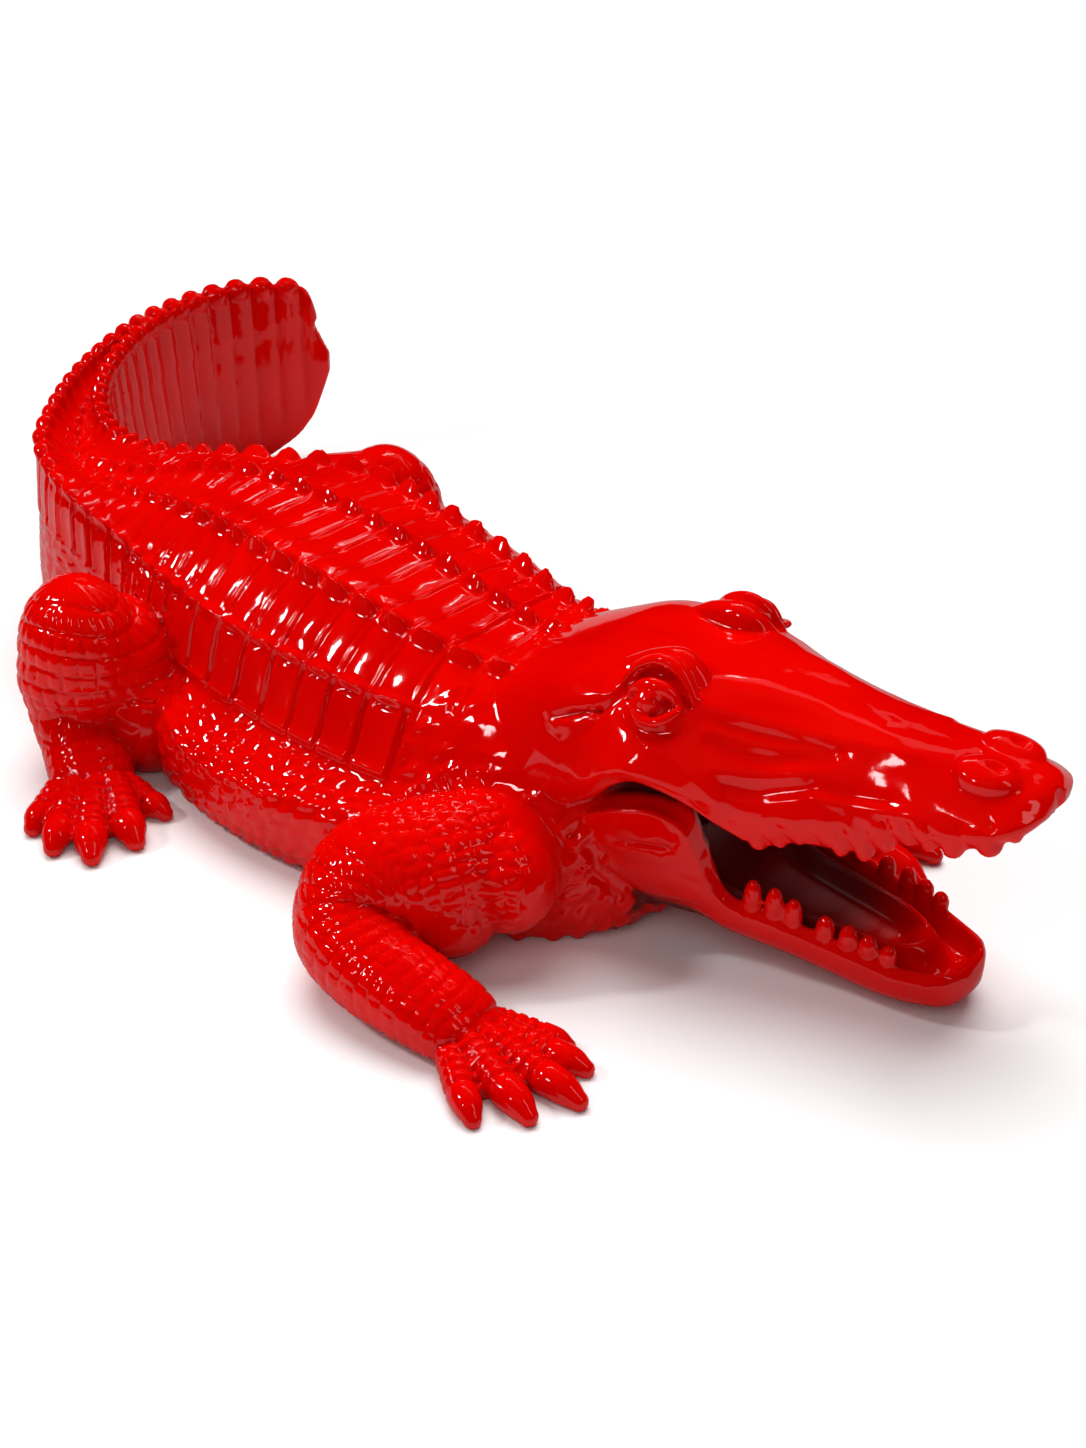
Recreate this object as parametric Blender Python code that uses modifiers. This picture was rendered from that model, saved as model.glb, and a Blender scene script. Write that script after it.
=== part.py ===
"""A lacquered crocodile sculpture, cast in one piece, resting on its belly, feet and tail.

Metres, +Z up. The head points along +X and the creature's left side is +Y. The origin is on the
floor, under the middle of the trunk.
"""
import math

import bmesh
import bpy
import numpy as np
from mathutils import Vector

# Driving size: from the tip of the nose to the back of the tail's bend
LENGTH = 1.34
# The figure's proportions are shares of its length, in units that are 1 mm at this length
UNIT = LENGTH / 1340.0

# Mesh fineness, in units
CAST_VOXEL = 4.6
TRIANGLES = 9200
TRUNK_RING_STEP = 4.0

# The floor plane that flattens the underside
SOLE_DEPTH = 1.6

# Pose of the head
HEAD_ORIGIN = (393.0, 61.0)
HEAD_TURN = math.radians(10.5)

NAME = "crocodile"
RED = (0.60, 0.004, 0.004)
ROUGHNESS = 0.08

# Body from neck to tail tip. Columns: x, y of the middle line, underside, spine height, then (out, up)
# of the keel, right crest, right plate edge, widest point and low flank, then half the belly's width,
# then (out, up) of the left crest and left plate edge, which stand higher than the right ones
BODY = np.array([
    [392, 67, 26, 180, 16, 181, 40, 174, 56, 140, 70, 92, 64, 52, 36, 40, 176, 56, 146],
    [370, 63, 13, 195, 20, 196, 50, 187, 72, 150, 98, 92, 94, 36, 60, 50, 189, 72, 158],
    [335, 54, 4, 206, 28, 207, 62, 196, 88, 158, 119, 88, 117, 24, 88, 62, 198, 88, 166],
    [280, 36, 0, 207, 34, 208, 78, 190, 110, 140, 145, 78, 143, 17, 112, 82, 198, 112, 164],
    [225, 14, 0, 207, 40, 208, 87, 180, 115, 124, 154, 74, 148, 18, 112, 95, 202, 122, 176],
    [150, 2, 0, 208, 45, 209, 94, 172, 117, 113, 173, 68, 167, 17, 130, 104, 202, 130, 180],
    [60, 0, 0, 215, 50, 216, 104, 172, 124, 110, 191, 63, 184, 16, 142, 114, 208, 142, 186],
    [-40, 0, 0, 219, 54, 220, 110, 173, 126, 110, 190, 63, 183, 16, 140, 122, 213, 146, 190],
    [-130, 2, 0, 217, 51, 218, 108, 174, 120, 114, 162, 65, 154, 16, 112, 120, 213, 136, 186],
    [-210, -10, 0, 216, 45, 218, 98, 184, 107, 130, 122, 70, 112, 18, 76, 102, 206, 111, 176],
    [-290, -34, 0, 203, 25, 205, 74, 202, 83, 146, 90, 72, 84, 18, 56, 74, 204, 84, 160],
    [-350, -42, 0, 196, 14, 200, 51, 209, 61, 150, 68, 72, 64, 18, 47, 51, 209, 62, 152],
    [-410, -28, 0, 190, 9, 194, 38, 214, 47, 150, 54, 74, 51, 18, 40, 38, 214, 47, 150],
    [-466, 10, 0, 192, 6, 195, 25, 216, 32, 150, 40, 74, 38, 18, 31, 25, 216, 32, 150],
    [-520, 64, 0, 197, 4, 199, 17, 217, 23, 152, 30, 72, 29, 18, 24, 17, 217, 23, 152],
    [-566, 130, 0, 202, 3, 204, 12, 218, 18, 154, 25, 70, 24, 16, 19, 12, 218, 18, 154],
    [-600, 206, 0, 206, 2, 208, 9, 219, 15, 156, 21, 70, 20, 16, 15, 9, 219, 15, 156],
    [-609, 280, 0, 210, 2, 212, 8, 220, 14, 158, 18, 76, 17, 20, 12, 8, 220, 14, 158],
    [-598, 336, 3, 213, 2, 214, 7, 221, 12, 164, 15, 92, 13, 42, 9, 7, 221, 12, 164],
    [-573, 376, 30, 212, 2, 213, 6, 219, 10, 178, 12, 122, 10, 82, 6, 6, 219, 10, 178],
    [-561, 391, 50, 209, 2, 210, 5, 215, 8, 174, 10, 120, 8, 88, 5, 5, 215, 8, 174],
    [-553, 401, 72, 167, 2, 168, 4, 171, 7, 150, 9, 118, 7, 98, 5, 4, 171, 7, 150],
    [-541, 411, 114, 135, 1, 135, 3, 137, 5, 134, 6, 127, 5, 120, 3, 3, 137, 5, 134],
], float)

# How far the throat reaches ahead of the neck, which distances along the body count from
THROAT = 58.5

# Distance between scute rows, in units, where the row lies this far behind the neck
ROW_PITCH = np.array([[0, 33], [200, 38], [420, 36], [520, 29], [650, 24], [850, 25], [1300, 30]], float)

# How far the crest and the inner keels stand up, and the depth of the joints between plates,
# against the distance behind the neck
RELIEF = np.array([
    [0, 3, 3, 1], [60, 8, 9, 3], [250, 9, 11, 3], [450, 8, 9, 3], [600, 8, 5, 2.5],
    [720, 8, 3, 2.5], [900, 8, 1, 4], [1150, 9, 0, 5], [1300, 4, 0, 4],
], float)

# Upper head in its own frame. Columns: along the head, palate height, inner lip (out, up), lip
# (out, up), cheek (out, up), top edge (out, up), height of the middle line
SKULL = np.array([
    [-170, 110, 84, 100, 96, 104, 104, 150, 70, 206, 220],
    [-120, 122, 92, 112, 106, 118, 114, 158, 80, 227, 242],
    [-85, 138, 96, 130, 110, 132, 118, 166, 84, 242, 255],
    [-50, 160, 98, 152, 113, 154, 121, 180, 80, 251, 261],
    [-15, 190, 98, 183, 116, 186, 122, 206, 72, 255, 262],
    [15, 196, 94, 188, 113, 190, 117, 208, 66, 259, 266],
    [45, 188, 86, 176, 104, 178, 106, 202, 57, 259, 268],
    [75, 176, 74, 160, 93, 160, 95, 192, 49, 257, 267],
    [102, 170, 64, 152, 85, 152, 88, 188, 43, 255, 263],
    [135, 174, 58, 162, 79, 163, 81, 194, 39, 251, 258],
    [165, 178, 53, 166, 72, 166, 74, 196, 36, 249, 255],
    [190, 182, 48, 170, 67, 171, 70, 200, 34, 249, 254],
    [215, 192, 46, 184, 63, 187, 66, 210, 33, 250, 254],
    [245, 198, 44, 190, 60, 192, 64, 214, 31, 250, 255],
    [273, 206, 40, 198, 56, 200, 61, 219, 28, 250, 255],
    [295, 214, 34, 208, 52, 211, 57, 225, 25, 247, 251],
    [310, 222, 24, 216, 40, 219, 44, 229, 18, 241, 245],
    [319, 229, 12, 225, 22, 228, 25, 232, 10, 238, 240],
], float)

# Lower jaw. Columns: along the head, underside, half width, rim height, floor height, rim width
JAW = np.array([
    [-170, 20, 92, 104, 100, 40],
    [-120, 20, 102, 112, 108, 40],
    [-80, 20, 106, 124, 112, 40],
    [-40, 20, 109, 148, 122, 42],
    [-10, 22, 109, 161, 122, 42],
    [15, 23, 105, 163, 112, 38],
    [36, 24, 98, 152, 84, 28],
    [50, 24, 90, 118, 62, 22],
    [60, 23, 83, 90, 52, 18],
    [76, 22, 78, 77, 47, 15],
    [110, 19, 71, 71, 44, 14],
    [150, 13, 64, 64, 42, 14],
    [190, 8, 60, 59, 38, 14],
    [218, 7, 54, 53, 34, 14],
    [240, 8, 46, 51, 33, 14],
    [254, 10, 38, 51, 36, 14],
    [263, 17, 26, 48, 40, 14],
    [269, 26, 10, 42, 38, 12],
], float)

# Limbs. Columns: x, y, z of the middle line and radius, on the creature's right side
FORE_LEG = np.array([
    [190, -84, 122, 68, 1.0], [216, -144, 106, 68, 1.0], [244, -200, 80, 62, 1.0], [266, -238, 56, 49, 1.0],
    [304, -248, 45, 43, 0.94], [348, -243, 37, 42, 0.86], [389, -235, 28, 42, 0.74], [422, -230, 20, 38, 0.62],
], float)
HIND_LEG = np.array([
    [-150, -70, 118, 76, 1.0], [-164, -124, 124, 74, 1.0], [-178, -172, 124, 67, 1.0], [-186, -196, 100, 58, 1.0],
    [-184, -204, 66, 46, 1.0], [-160, -216, 40, 40, 0.9], [-128, -230, 28, 40, 0.75], [-104, -238, 20, 34, 0.62],
], float)

# Toes: root, knuckle and tip in plan, and the radius at the root
FORE_TOES = [
    ((414, -256), (448, -279), (473, -291), 13.5),
    ((424, -240), (467, -251), (502, -257), 15.0),
    ((428, -222), (476, -219), (517, -215), 15.0),
    ((424, -206), (462, -193), (492, -182), 13.5),
    ((410, -194), (439, -181), (460, -171), 11.5),
]
HIND_TOES = [
    ((-129, -260), (-118, -290), (-110, -312), 15.0),
    ((-113, -258), (-88, -292), (-69, -317), 16.0),
    ((-97, -247), (-61, -279), (-32, -300), 16.5),
    ((-88, -232), (-54, -247), (-24, -256), 17.0),
    ((-95, -216), (-68, -212), (-44, -207), 13.5),
]

# Teeth: distance along the head, length and radius
LOWER_TEETH = [(88, 19, 8.5), (107, 19, 8.5), (124, 17, 8.0), (152, 14, 8.0), (173, 14, 8.0),
               (191, 13, 8.0), (208, 12, 7.5)]
UPPER_TEETH = [(100, 10, 9), (118, 8, 7), (134, 6, 6), (168, 11, 8), (187, 14, 9), (204, 11, 8),
               (222, 6, 6), (238, 9, 7), (258, 12, 11), (286, 13, 12), (303, 7, 7)]


# The ridge over each eye: along the head, out from its middle, up, radius
BROW = [(-74, 66, 238, 9), (-51, 61, 250, 11), (-24, 56, 265, 13), (0, 53, 272, 14), (17, 57, 262, 12),
        (26, 66, 246, 9)]


def smooth_rows(table, positions):
    """Rows read from a smooth curve through the table's rows, at these positions from 0 to the last row."""
    padded = np.vstack([2 * table[0] - table[1], table, 2 * table[-1] - table[-2]])
    first = np.clip(np.floor(positions).astype(int), 0, len(table) - 2)
    f = (positions - first)[:, None]
    p0, p1, p2, p3 = (padded[first + k] for k in range(4))
    return 0.5 * (2 * p1 + (p2 - p0) * f + (2 * p0 - 5 * p1 + 4 * p2 - p3) * f**2
                  + (3 * p1 - p0 - 3 * p2 + p3) * f**3)


def even_rows(table, step, columns=(0, 1)):
    """The smooth curve through the table, cut into steps of even length, and the distance at each cut."""
    positions = np.linspace(0, len(table) - 1, 3000)
    rows = smooth_rows(table, positions)
    moves = np.linalg.norm(np.diff(rows[:, list(columns)], axis=0), axis=1)
    along = np.concatenate([[0], np.cumsum(moves)])
    count = max(4, int(round(along[-1] / step)) + 1)
    wanted = np.linspace(0, along[-1], count)
    return smooth_rows(table, np.interp(wanted, along, positions)), wanted


def lookup(table, at):
    """Columns of a table read at these values of its first column."""
    return [np.interp(at, table[:, 0], table[:, k]) for k in range(1, table.shape[1])]


def bump(x, width):
    """1 at x = 0, falling smoothly to 0 at x = width."""
    t = np.clip(np.abs(x) / width, 0, 1)
    return (1 - t * t) ** 2


def step_up(x, low, high):
    t = np.clip((x - low) / (high - low), 0, 1)
    return t * t * (3 - 2 * t)


def outlines(middle, right, left, counts):
    """Smooth closed rings through the underside's middle, the right side's points, the top's middle and the
    left side's. Returns rings x n x 2 and each point's place along the points, counted up the right side."""
    mirror = [points * [-1, 1] for points in left[::-1]]
    loop = np.stack([middle[0]] + right + [middle[1]] + mirror, axis=1)
    steps = list(counts) + list(counts)[::-1]
    total = loop.shape[1]
    found, places = [], []
    for k in range(total):
        p0, p1, p2, p3 = (loop[:, (k + d) % total] for d in (-1, 0, 1, 2))
        for f in np.arange(steps[k]) / steps[k]:
            found.append(0.5 * (2 * p1 + (p2 - p0) * f + (2 * p0 - 5 * p1 + 4 * p2 - p3) * f**2
                                + (3 * p1 - p0 - 3 * p2 + p3) * f**3))
            places.append(k + f)
    return np.stack(found, axis=1), np.array(places)


def mesh_of(name, grid):
    """A closed mesh from rings of points: rings x n x 3, in units, with flat ends."""
    rings, n, _ = grid.shape
    corner = np.arange(rings * n).reshape(rings, n)
    nxt = np.roll(corner, -1, axis=1)
    faces = np.stack([corner[:-1], nxt[:-1], nxt[1:], corner[1:]], axis=-1).reshape(-1, 4)
    mesh = bpy.data.meshes.new(name)
    ends = [list(map(int, corner[0][::-1])), list(map(int, corner[-1]))]
    mesh.from_pydata((grid.reshape(-1, 3) * UNIT).tolist(), [], faces.tolist() + ends)
    shape = bmesh.new()
    shape.from_mesh(mesh)
    bmesh.ops.recalc_face_normals(shape, faces=shape.faces)
    shape.to_mesh(mesh)
    shape.free()
    return mesh


def grid_normals(grid):
    """Outward unit normals of a ring grid."""
    along = np.gradient(grid, axis=0)
    around = np.roll(grid, -1, axis=1) - np.roll(grid, 1, axis=1)
    normal = np.cross(around, along)
    normal /= np.linalg.norm(normal, axis=2, keepdims=True) + 1e-9
    middle = grid.mean(axis=1, keepdims=True)
    if ((grid - middle) * normal).sum() < 0:
        normal = -normal
    return normal


def row_phase(along):
    """How many scute rows lie ahead of this distance behind the neck."""
    fine = np.linspace(along[0], along[-1], 4000)
    pitch = lookup(ROW_PITCH, fine)[0]
    rows = np.concatenate([[0], np.cumsum(np.diff(fine) / pitch[1:])])
    return np.interp(along, fine, rows - np.interp(0.0, fine, rows))


def saw_tooth(phase):
    """A scute's keel along its length: low in front, highest near its rear edge."""
    return step_up(phase, 0.0, 0.62) * (1 - step_up(phase, 0.84, 1.0))


def trunk_and_tail():
    """The body from neck to tail tip, with its keels, plates and tail whorls."""
    rows, along = even_rows(BODY, TRUNK_RING_STEP)
    along -= THROAT
    heading = np.gradient(rows[:, :2], axis=0)
    heading /= np.linalg.norm(heading, axis=1, keepdims=True)
    # The rows run from the neck back, so the creature's left is the turn of minus the heading
    left = np.stack([heading[:, 1], -heading[:, 0]], axis=1)
    base = rows[:, 2]
    middle = [np.stack([0 * base, base], 1), np.stack([0 * base, rows[:, 3]], 1)]
    shared = [np.stack([rows[:, 14], base], 1), rows[:, 12:14], rows[:, 10:12]]
    right = shared + [rows[:, 8:10], rows[:, 6:8], rows[:, 4:6]]
    left_side = shared + [rows[:, 17:19], rows[:, 15:17], rows[:, 4:6]]
    flat, place = outlines(middle, right, left_side, (3, 3, 3, 4, 6, 6, 5))
    grid = np.empty(flat.shape[:2] + (3,))
    out = -flat[:, :, 0]
    grid[:, :, :2] = rows[:, None, :2] + out[:, :, None] * left[:, None, :]
    grid[:, :, 2] = flat[:, :, 1]

    # Places 0 to 14 run up the right side and down the left, so fold them onto one side
    fold = np.where(place <= 7, place, 14 - place)
    crest_height, keel_height, joint = lookup(RELIEF, along)
    phase = row_phase(along) % 1.0
    tooth = saw_tooth(phase)[:, None]
    crest = crest_height[:, None] * tooth * bump(fold - 5, 0.55)[None]
    keel = keel_height[:, None] * tooth * bump(fold - 6, 0.45)[None]
    plates = (step_up(fold, 3.75, 4.1))[None]
    tail_side = step_up(along, 640, 820)[:, None] * (step_up(fold, 1.6, 2.4))[None]
    gap = (bump(phase - 1.0, 0.16) + bump(phase, 0.16))[:, None]
    shape = crest + keel - joint[:, None] * gap * np.maximum(plates, tail_side) + 4.0 * plates
    normal = grid_normals(grid)
    grid = grid + normal * shape[:, :, None] * (base < 70)[:, None, None]
    return mesh_of("trunk", grid)


def head_to_world(along, out, up):
    """Points of the head's frame in the world, in units. out is to the creature's right."""
    c, s = math.cos(HEAD_TURN), math.sin(HEAD_TURN)
    x = HEAD_ORIGIN[0] + along * c + out * s
    y = HEAD_ORIGIN[1] + along * s - out * c
    return np.stack([x, y, up], axis=-1)


def upper_head():
    """Skull and snout down to the palate."""
    rows, _ = even_rows(SKULL, 7.0, columns=(0, 10))
    zero = 0 * rows[:, 0]
    middle = [np.stack([zero, rows[:, 1]], 1), np.stack([zero, rows[:, 10]], 1)]
    side = [rows[:, 2:4], rows[:, 4:6], rows[:, 6:8], rows[:, 8:10]]
    flat, _ = outlines(middle, side, side, (5, 3, 4, 5, 6))
    along = np.repeat(rows[:, 0:1], flat.shape[1], axis=1)
    return mesh_of("skull", head_to_world(along, flat[:, :, 0], flat[:, :, 1]))


def lower_jaw():
    """The jaw with its raised rim, a sunk floor and the tray that lines the mouth."""
    rows, _ = even_rows(JAW, 6.0, columns=(0, 2))
    t, low, half, rim, floor, lip = rows.T
    across = np.linspace(-1, 1, 33)
    end = JAW[-1, 0]
    inward = np.minimum((1 - np.abs(across))[None] * half[:, None], (end - t)[:, None] * 1.1)
    rim_shape = bump(inward - lip[:, None] * 0.55, lip[:, None] * 0.95)
    top = floor[:, None] + (rim - floor)[:, None] * rim_shape
    edge = (rim - 6)[:, None]
    top = np.where(inward < lip[:, None] * 0.55, np.maximum(top, edge), top)
    top += mouth_tray(t, across, half)
    angle = np.linspace(math.pi, 2 * math.pi, 23)[1:-1]
    under_out = np.sign(np.cos(angle)) * np.abs(np.cos(angle)) ** 0.7
    under_up = np.abs(np.sin(angle)) ** 0.8
    under = edge - (edge - low[:, None]) * under_up[None]
    out = np.concatenate([across[None] * half[:, None], -under_out[None] * half[:, None]], axis=1)
    up = np.concatenate([top, under], axis=1)
    along = np.repeat(t[:, None], out.shape[1], axis=1)
    return mesh_of("jaw", head_to_world(along, out, up))


def mouth_tray(t, across, half):
    """Height of the oval ridge round the mouth's lining."""
    middle, reach = 112.0, 106.0
    along = (t[:, None] - middle) / reach
    out = across[None] * half[:, None] / np.maximum(half[:, None] - 30, 6)
    ring = (np.abs(along) ** 4 + np.abs(out) ** 4) ** 0.25
    return 22 * bump(ring - 1.0, 0.26) * (t[:, None] > 20)


def ellipsoid(name, centre, radii, turn=0.0):
    """A closed ellipsoid in world units."""
    shape = bmesh.new()
    bmesh.ops.create_uvsphere(shape, u_segments=16, v_segments=10, radius=1.0)
    c, s = math.cos(turn), math.sin(turn)
    for v in shape.verts:
        x, y, z = v.co.x * radii[0], v.co.y * radii[1], v.co.z * radii[2]
        v.co = Vector((centre[0] + x * c - y * s, centre[1] + x * s + y * c, centre[2] + z)) * UNIT
    mesh = bpy.data.meshes.new(name)
    shape.to_mesh(mesh)
    shape.free()
    return mesh


def tube(name, table, around=20, step=6.0):
    """A round limb along a path of points, radii and how far the height is squeezed, with domed ends."""
    rows, _ = even_rows(np.asarray(table, float), step, columns=(0, 1, 2))
    heads, tails = rows[0], rows[-1]
    first = dome_rows(heads, rows[1] - rows[0])
    last = dome_rows(tails, rows[-2] - rows[-1])
    rows = np.vstack([first[::-1], rows, last])
    ahead = np.gradient(rows[:, :3], axis=0)
    ahead /= np.linalg.norm(ahead, axis=1, keepdims=True) + 1e-9
    side = np.cross(ahead, [0, 0, 1.0])
    side /= np.linalg.norm(side, axis=1, keepdims=True) + 1e-9
    top = np.cross(side, ahead)
    angle = np.linspace(0, 2 * math.pi, around, endpoint=False)
    ring = (side[:, None] * np.cos(angle)[None, :, None]
            + top[:, None] * np.sin(angle)[None, :, None] * rows[:, None, 4:5])
    grid = rows[:, None, :3] + ring * rows[:, None, 3:4]
    return mesh_of(name, grid)


def dome_rows(row, inward):
    """Extra rings that round off a tube's end, nearest the tube first."""
    direction = -inward[:3] / (np.linalg.norm(inward[:3]) + 1e-9)
    made = []
    for angle in (0.5, 0.95, 1.3, 1.5):
        centre = row[:3] + direction * row[3] * math.sin(angle)
        made.append([*centre, row[3] * math.cos(angle), row[4]])
    return np.array(made)


def toe(name, root, knuckle, tip, radius):
    """A toe that lies on the floor and ends in a blunt claw."""
    path = [
        [*root, radius * 1.25, radius, 1],
        [*(np.array(root) * 0.5 + np.array(knuckle) * 0.5), radius * 1.15, radius, 1],
        [*knuckle, radius * 1.0, radius * 1.02, 1],
        [*(np.array(knuckle) * 0.4 + np.array(tip) * 0.6), radius * 0.82, radius * 0.86, 1],
        [*tip, radius * 0.42, radius * 0.42, 1],
    ]
    return tube(name, path, around=12, step=4.0)


def web(name, toes, height):
    """The skin between the toes, from the palm to the knuckles."""
    centre = np.mean([np.array(t[0]) for t in toes], axis=0)
    made = []
    for a, b in zip(toes[:-1], toes[1:]):
        mid = (np.array(a[1]) + np.array(b[1])) / 2
        spread = np.linalg.norm(np.array(a[1]) - np.array(b[1])) / 2
        reach = mid * 0.86 + centre * 0.14
        path = [[*centre, height, spread * 0.9, 0.4], [*((centre + reach) / 2), height * 0.9, spread, 0.4],
                [*reach, height * 0.7, spread * 0.8, 0.4]]
        made.append(tube(name, path, around=12, step=5.0))
    return made


def mirrored(mesh):
    """The same limb on the creature's left side."""
    copy = mesh.copy()
    for v in copy.vertices:
        v.co.y = -v.co.y
    copy.flip_normals()
    return copy


def legs():
    right = [tube("fore_leg", FORE_LEG), tube("hind_leg", HIND_LEG)]
    right.append(ellipsoid("knee", (-183, -192, 119), (64, 57, 79)))
    right.append(ellipsoid("groin", (-142, -156, 52), (58, 46, 58)))
    right.append(ellipsoid("armpit", (268, -176, 66), (74, 56, 58)))
    for toes in (FORE_TOES, HIND_TOES):
        right += [toe("toe", *t) for t in toes]
        right += web("web", toes, 15.0)
    haunch = ellipsoid("haunch", (-184, 196, 125), (63, 53, 80))
    return right + [mirrored(m) for m in right] + [haunch]


def teeth():
    made = []
    for along, length, radius in LOWER_TEETH:
        half, rim = np.interp(along, JAW[:, 0], JAW[:, 2]), np.interp(along, JAW[:, 0], JAW[:, 3])
        for sign in (-1, 1):
            centre = head_to_world(along, sign * (half - 10), rim + length * 0.3)
            made.append(ellipsoid("tooth", centre, (radius, radius * 0.9, length), HEAD_TURN))
    for along, length, radius in UPPER_TEETH:
        half, lip = np.interp(along, SKULL[:, 0], SKULL[:, 4]), np.interp(along, SKULL[:, 0], SKULL[:, 5])
        for sign in (-1, 1):
            centre = head_to_world(along, sign * (half - 3), lip + 2)
            made.append(ellipsoid("tooth", centre, (radius, radius * 0.8, length), HEAD_TURN))
    return made


def face():
    """Brows, eyes, nostril mounds and ear folds."""
    made = []
    for sign in (-1, 1):
        eye = head_to_world(-12.0, sign * 70.0, 243.0)
        made.append(ellipsoid("eye", eye, (17, 15, 14), HEAD_TURN))
        brow = [[*head_to_world(t, sign * out, up), r, 1] for t, out, up, r in BROW]
        made.append(tube("brow", brow, around=14))
        made.append(ellipsoid("nostril", head_to_world(268.0, sign * 24.0, 253.0), (24, 16, 14), HEAD_TURN))
        made.append(ellipsoid("ear", head_to_world(-88.0, sign * 88.0, 204.0), (26, 12, 9), HEAD_TURN))
    return made


def joined(name, meshes):
    """One mesh from many."""
    shape = bmesh.new()
    for mesh in meshes:
        shape.from_mesh(mesh)
        bpy.data.meshes.remove(mesh)
    mesh = bpy.data.meshes.new(name)
    shape.to_mesh(mesh)
    shape.free()
    return mesh


def applied(obj):
    """Replaces an object's mesh with what its modifiers make."""
    graph = bpy.context.evaluated_depsgraph_get()
    mesh = bpy.data.meshes.new_from_object(obj.evaluated_get(graph))
    obj.modifiers.clear()
    obj.data = mesh
    return mesh


def cast(name, meshes, collection):
    """The pieces fused into one smooth casting, with a flat underside and few enough faces."""
    obj = bpy.data.objects.new(name, joined(name, meshes))
    collection.objects.link(obj)
    fuse = obj.modifiers.new("fuse", "REMESH")
    fuse.mode = "VOXEL"
    fuse.voxel_size = CAST_VOXEL * UNIT
    soften = obj.modifiers.new("soften", "SMOOTH")
    soften.iterations = 2
    soften.factor = 0.5
    applied(obj)
    thin = obj.modifiers.new("thin", "DECIMATE")
    thin.ratio = min(1.0, TRIANGLES / (2.0 * len(obj.data.polygons)))
    applied(obj)
    flatten_underside(obj.data)
    return obj


def flatten_underside(mesh):
    """Cuts the casting level just above its lowest points, so it rests on flat faces at Z = 0."""
    shape = bmesh.new()
    shape.from_mesh(mesh)
    level = SOLE_DEPTH * UNIT
    everything = shape.verts[:] + shape.edges[:] + shape.faces[:]
    bmesh.ops.bisect_plane(shape, geom=everything, plane_co=(0, 0, level), plane_no=(0, 0, -1), clear_outer=True)
    open_edges = [e for e in shape.edges if e.is_boundary]
    bmesh.ops.holes_fill(shape, edges=open_edges)
    bmesh.ops.translate(shape, verts=shape.verts, vec=(0, 0, -level))
    bmesh.ops.triangulate(shape, faces=shape.faces)
    bmesh.ops.recalc_face_normals(shape, faces=shape.faces)
    shape.to_mesh(mesh)
    shape.free()


def lacquer():
    material = bpy.data.materials.new("red_lacquer")
    material.use_nodes = True
    shader = material.node_tree.nodes["Principled BSDF"]
    shader.inputs["Base Color"].default_value = (*RED, 1.0)
    shader.inputs["Roughness"].default_value = ROUGHNESS
    shader.inputs["Metallic"].default_value = 0.0
    return material


def main():
    for obj in list(bpy.data.objects):
        bpy.data.objects.remove(obj)
    collection = bpy.data.collections.new("crocodile_sculpture")
    bpy.context.scene.collection.children.link(collection)
    pieces = [trunk_and_tail(), upper_head(), lower_jaw()] + legs() + teeth() + face()
    sculpture = cast(NAME, pieces, collection)
    sculpture.data.shade_smooth()
    sculpture.data.materials.append(lacquer())


main()
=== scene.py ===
"""The lacquered crocodile as it looks: the casting's own forms, with its scutes, scales, folds, lids and
claws cut fine, under gloss red lacquer on a pale studio floor.

The tables are in the same units as the part's source: shares of its length, 1 mm each at the real size.
"""
import math

import bmesh
import bpy
import numpy as np
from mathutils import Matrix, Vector
from mathutils.bvhtree import BVHTree


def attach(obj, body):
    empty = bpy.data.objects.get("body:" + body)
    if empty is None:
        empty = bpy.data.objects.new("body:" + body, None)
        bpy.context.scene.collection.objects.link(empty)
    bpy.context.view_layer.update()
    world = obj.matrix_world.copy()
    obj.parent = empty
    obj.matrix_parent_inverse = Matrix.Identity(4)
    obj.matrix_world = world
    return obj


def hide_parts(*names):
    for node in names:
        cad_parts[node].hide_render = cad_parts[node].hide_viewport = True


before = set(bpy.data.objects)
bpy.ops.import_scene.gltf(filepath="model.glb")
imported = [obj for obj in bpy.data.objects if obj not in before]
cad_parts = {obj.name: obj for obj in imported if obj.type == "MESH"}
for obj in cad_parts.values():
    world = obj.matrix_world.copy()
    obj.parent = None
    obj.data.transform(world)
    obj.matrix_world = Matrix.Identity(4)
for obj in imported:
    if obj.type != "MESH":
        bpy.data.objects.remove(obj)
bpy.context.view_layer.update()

# The real length that the tables are shares of, and one unit in metres
LENGTH = 1.34
UNIT = LENGTH / 1340.0

# Fineness of the skin, in units: its voxels, and how far apart the rings of each form lie
VOXEL = 1.6
TRUNK_STEP = 1.8
SKULL_STEP = 2.6
JAW_STEP = 2.4
TUBE_STEP = 2.5
LIMB_STEP = 3.0

# Triangles left after thinning, before the underside is cut
TRIANGLES = 192000

# How far up the underside is cut level
SOLE_DEPTH = 1.6

# The head's frame: its place in plan and its turn to the creature's left
HEAD_ORIGIN = (393.0, 61.0)
HEAD_TURN = math.radians(10.5)

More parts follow.
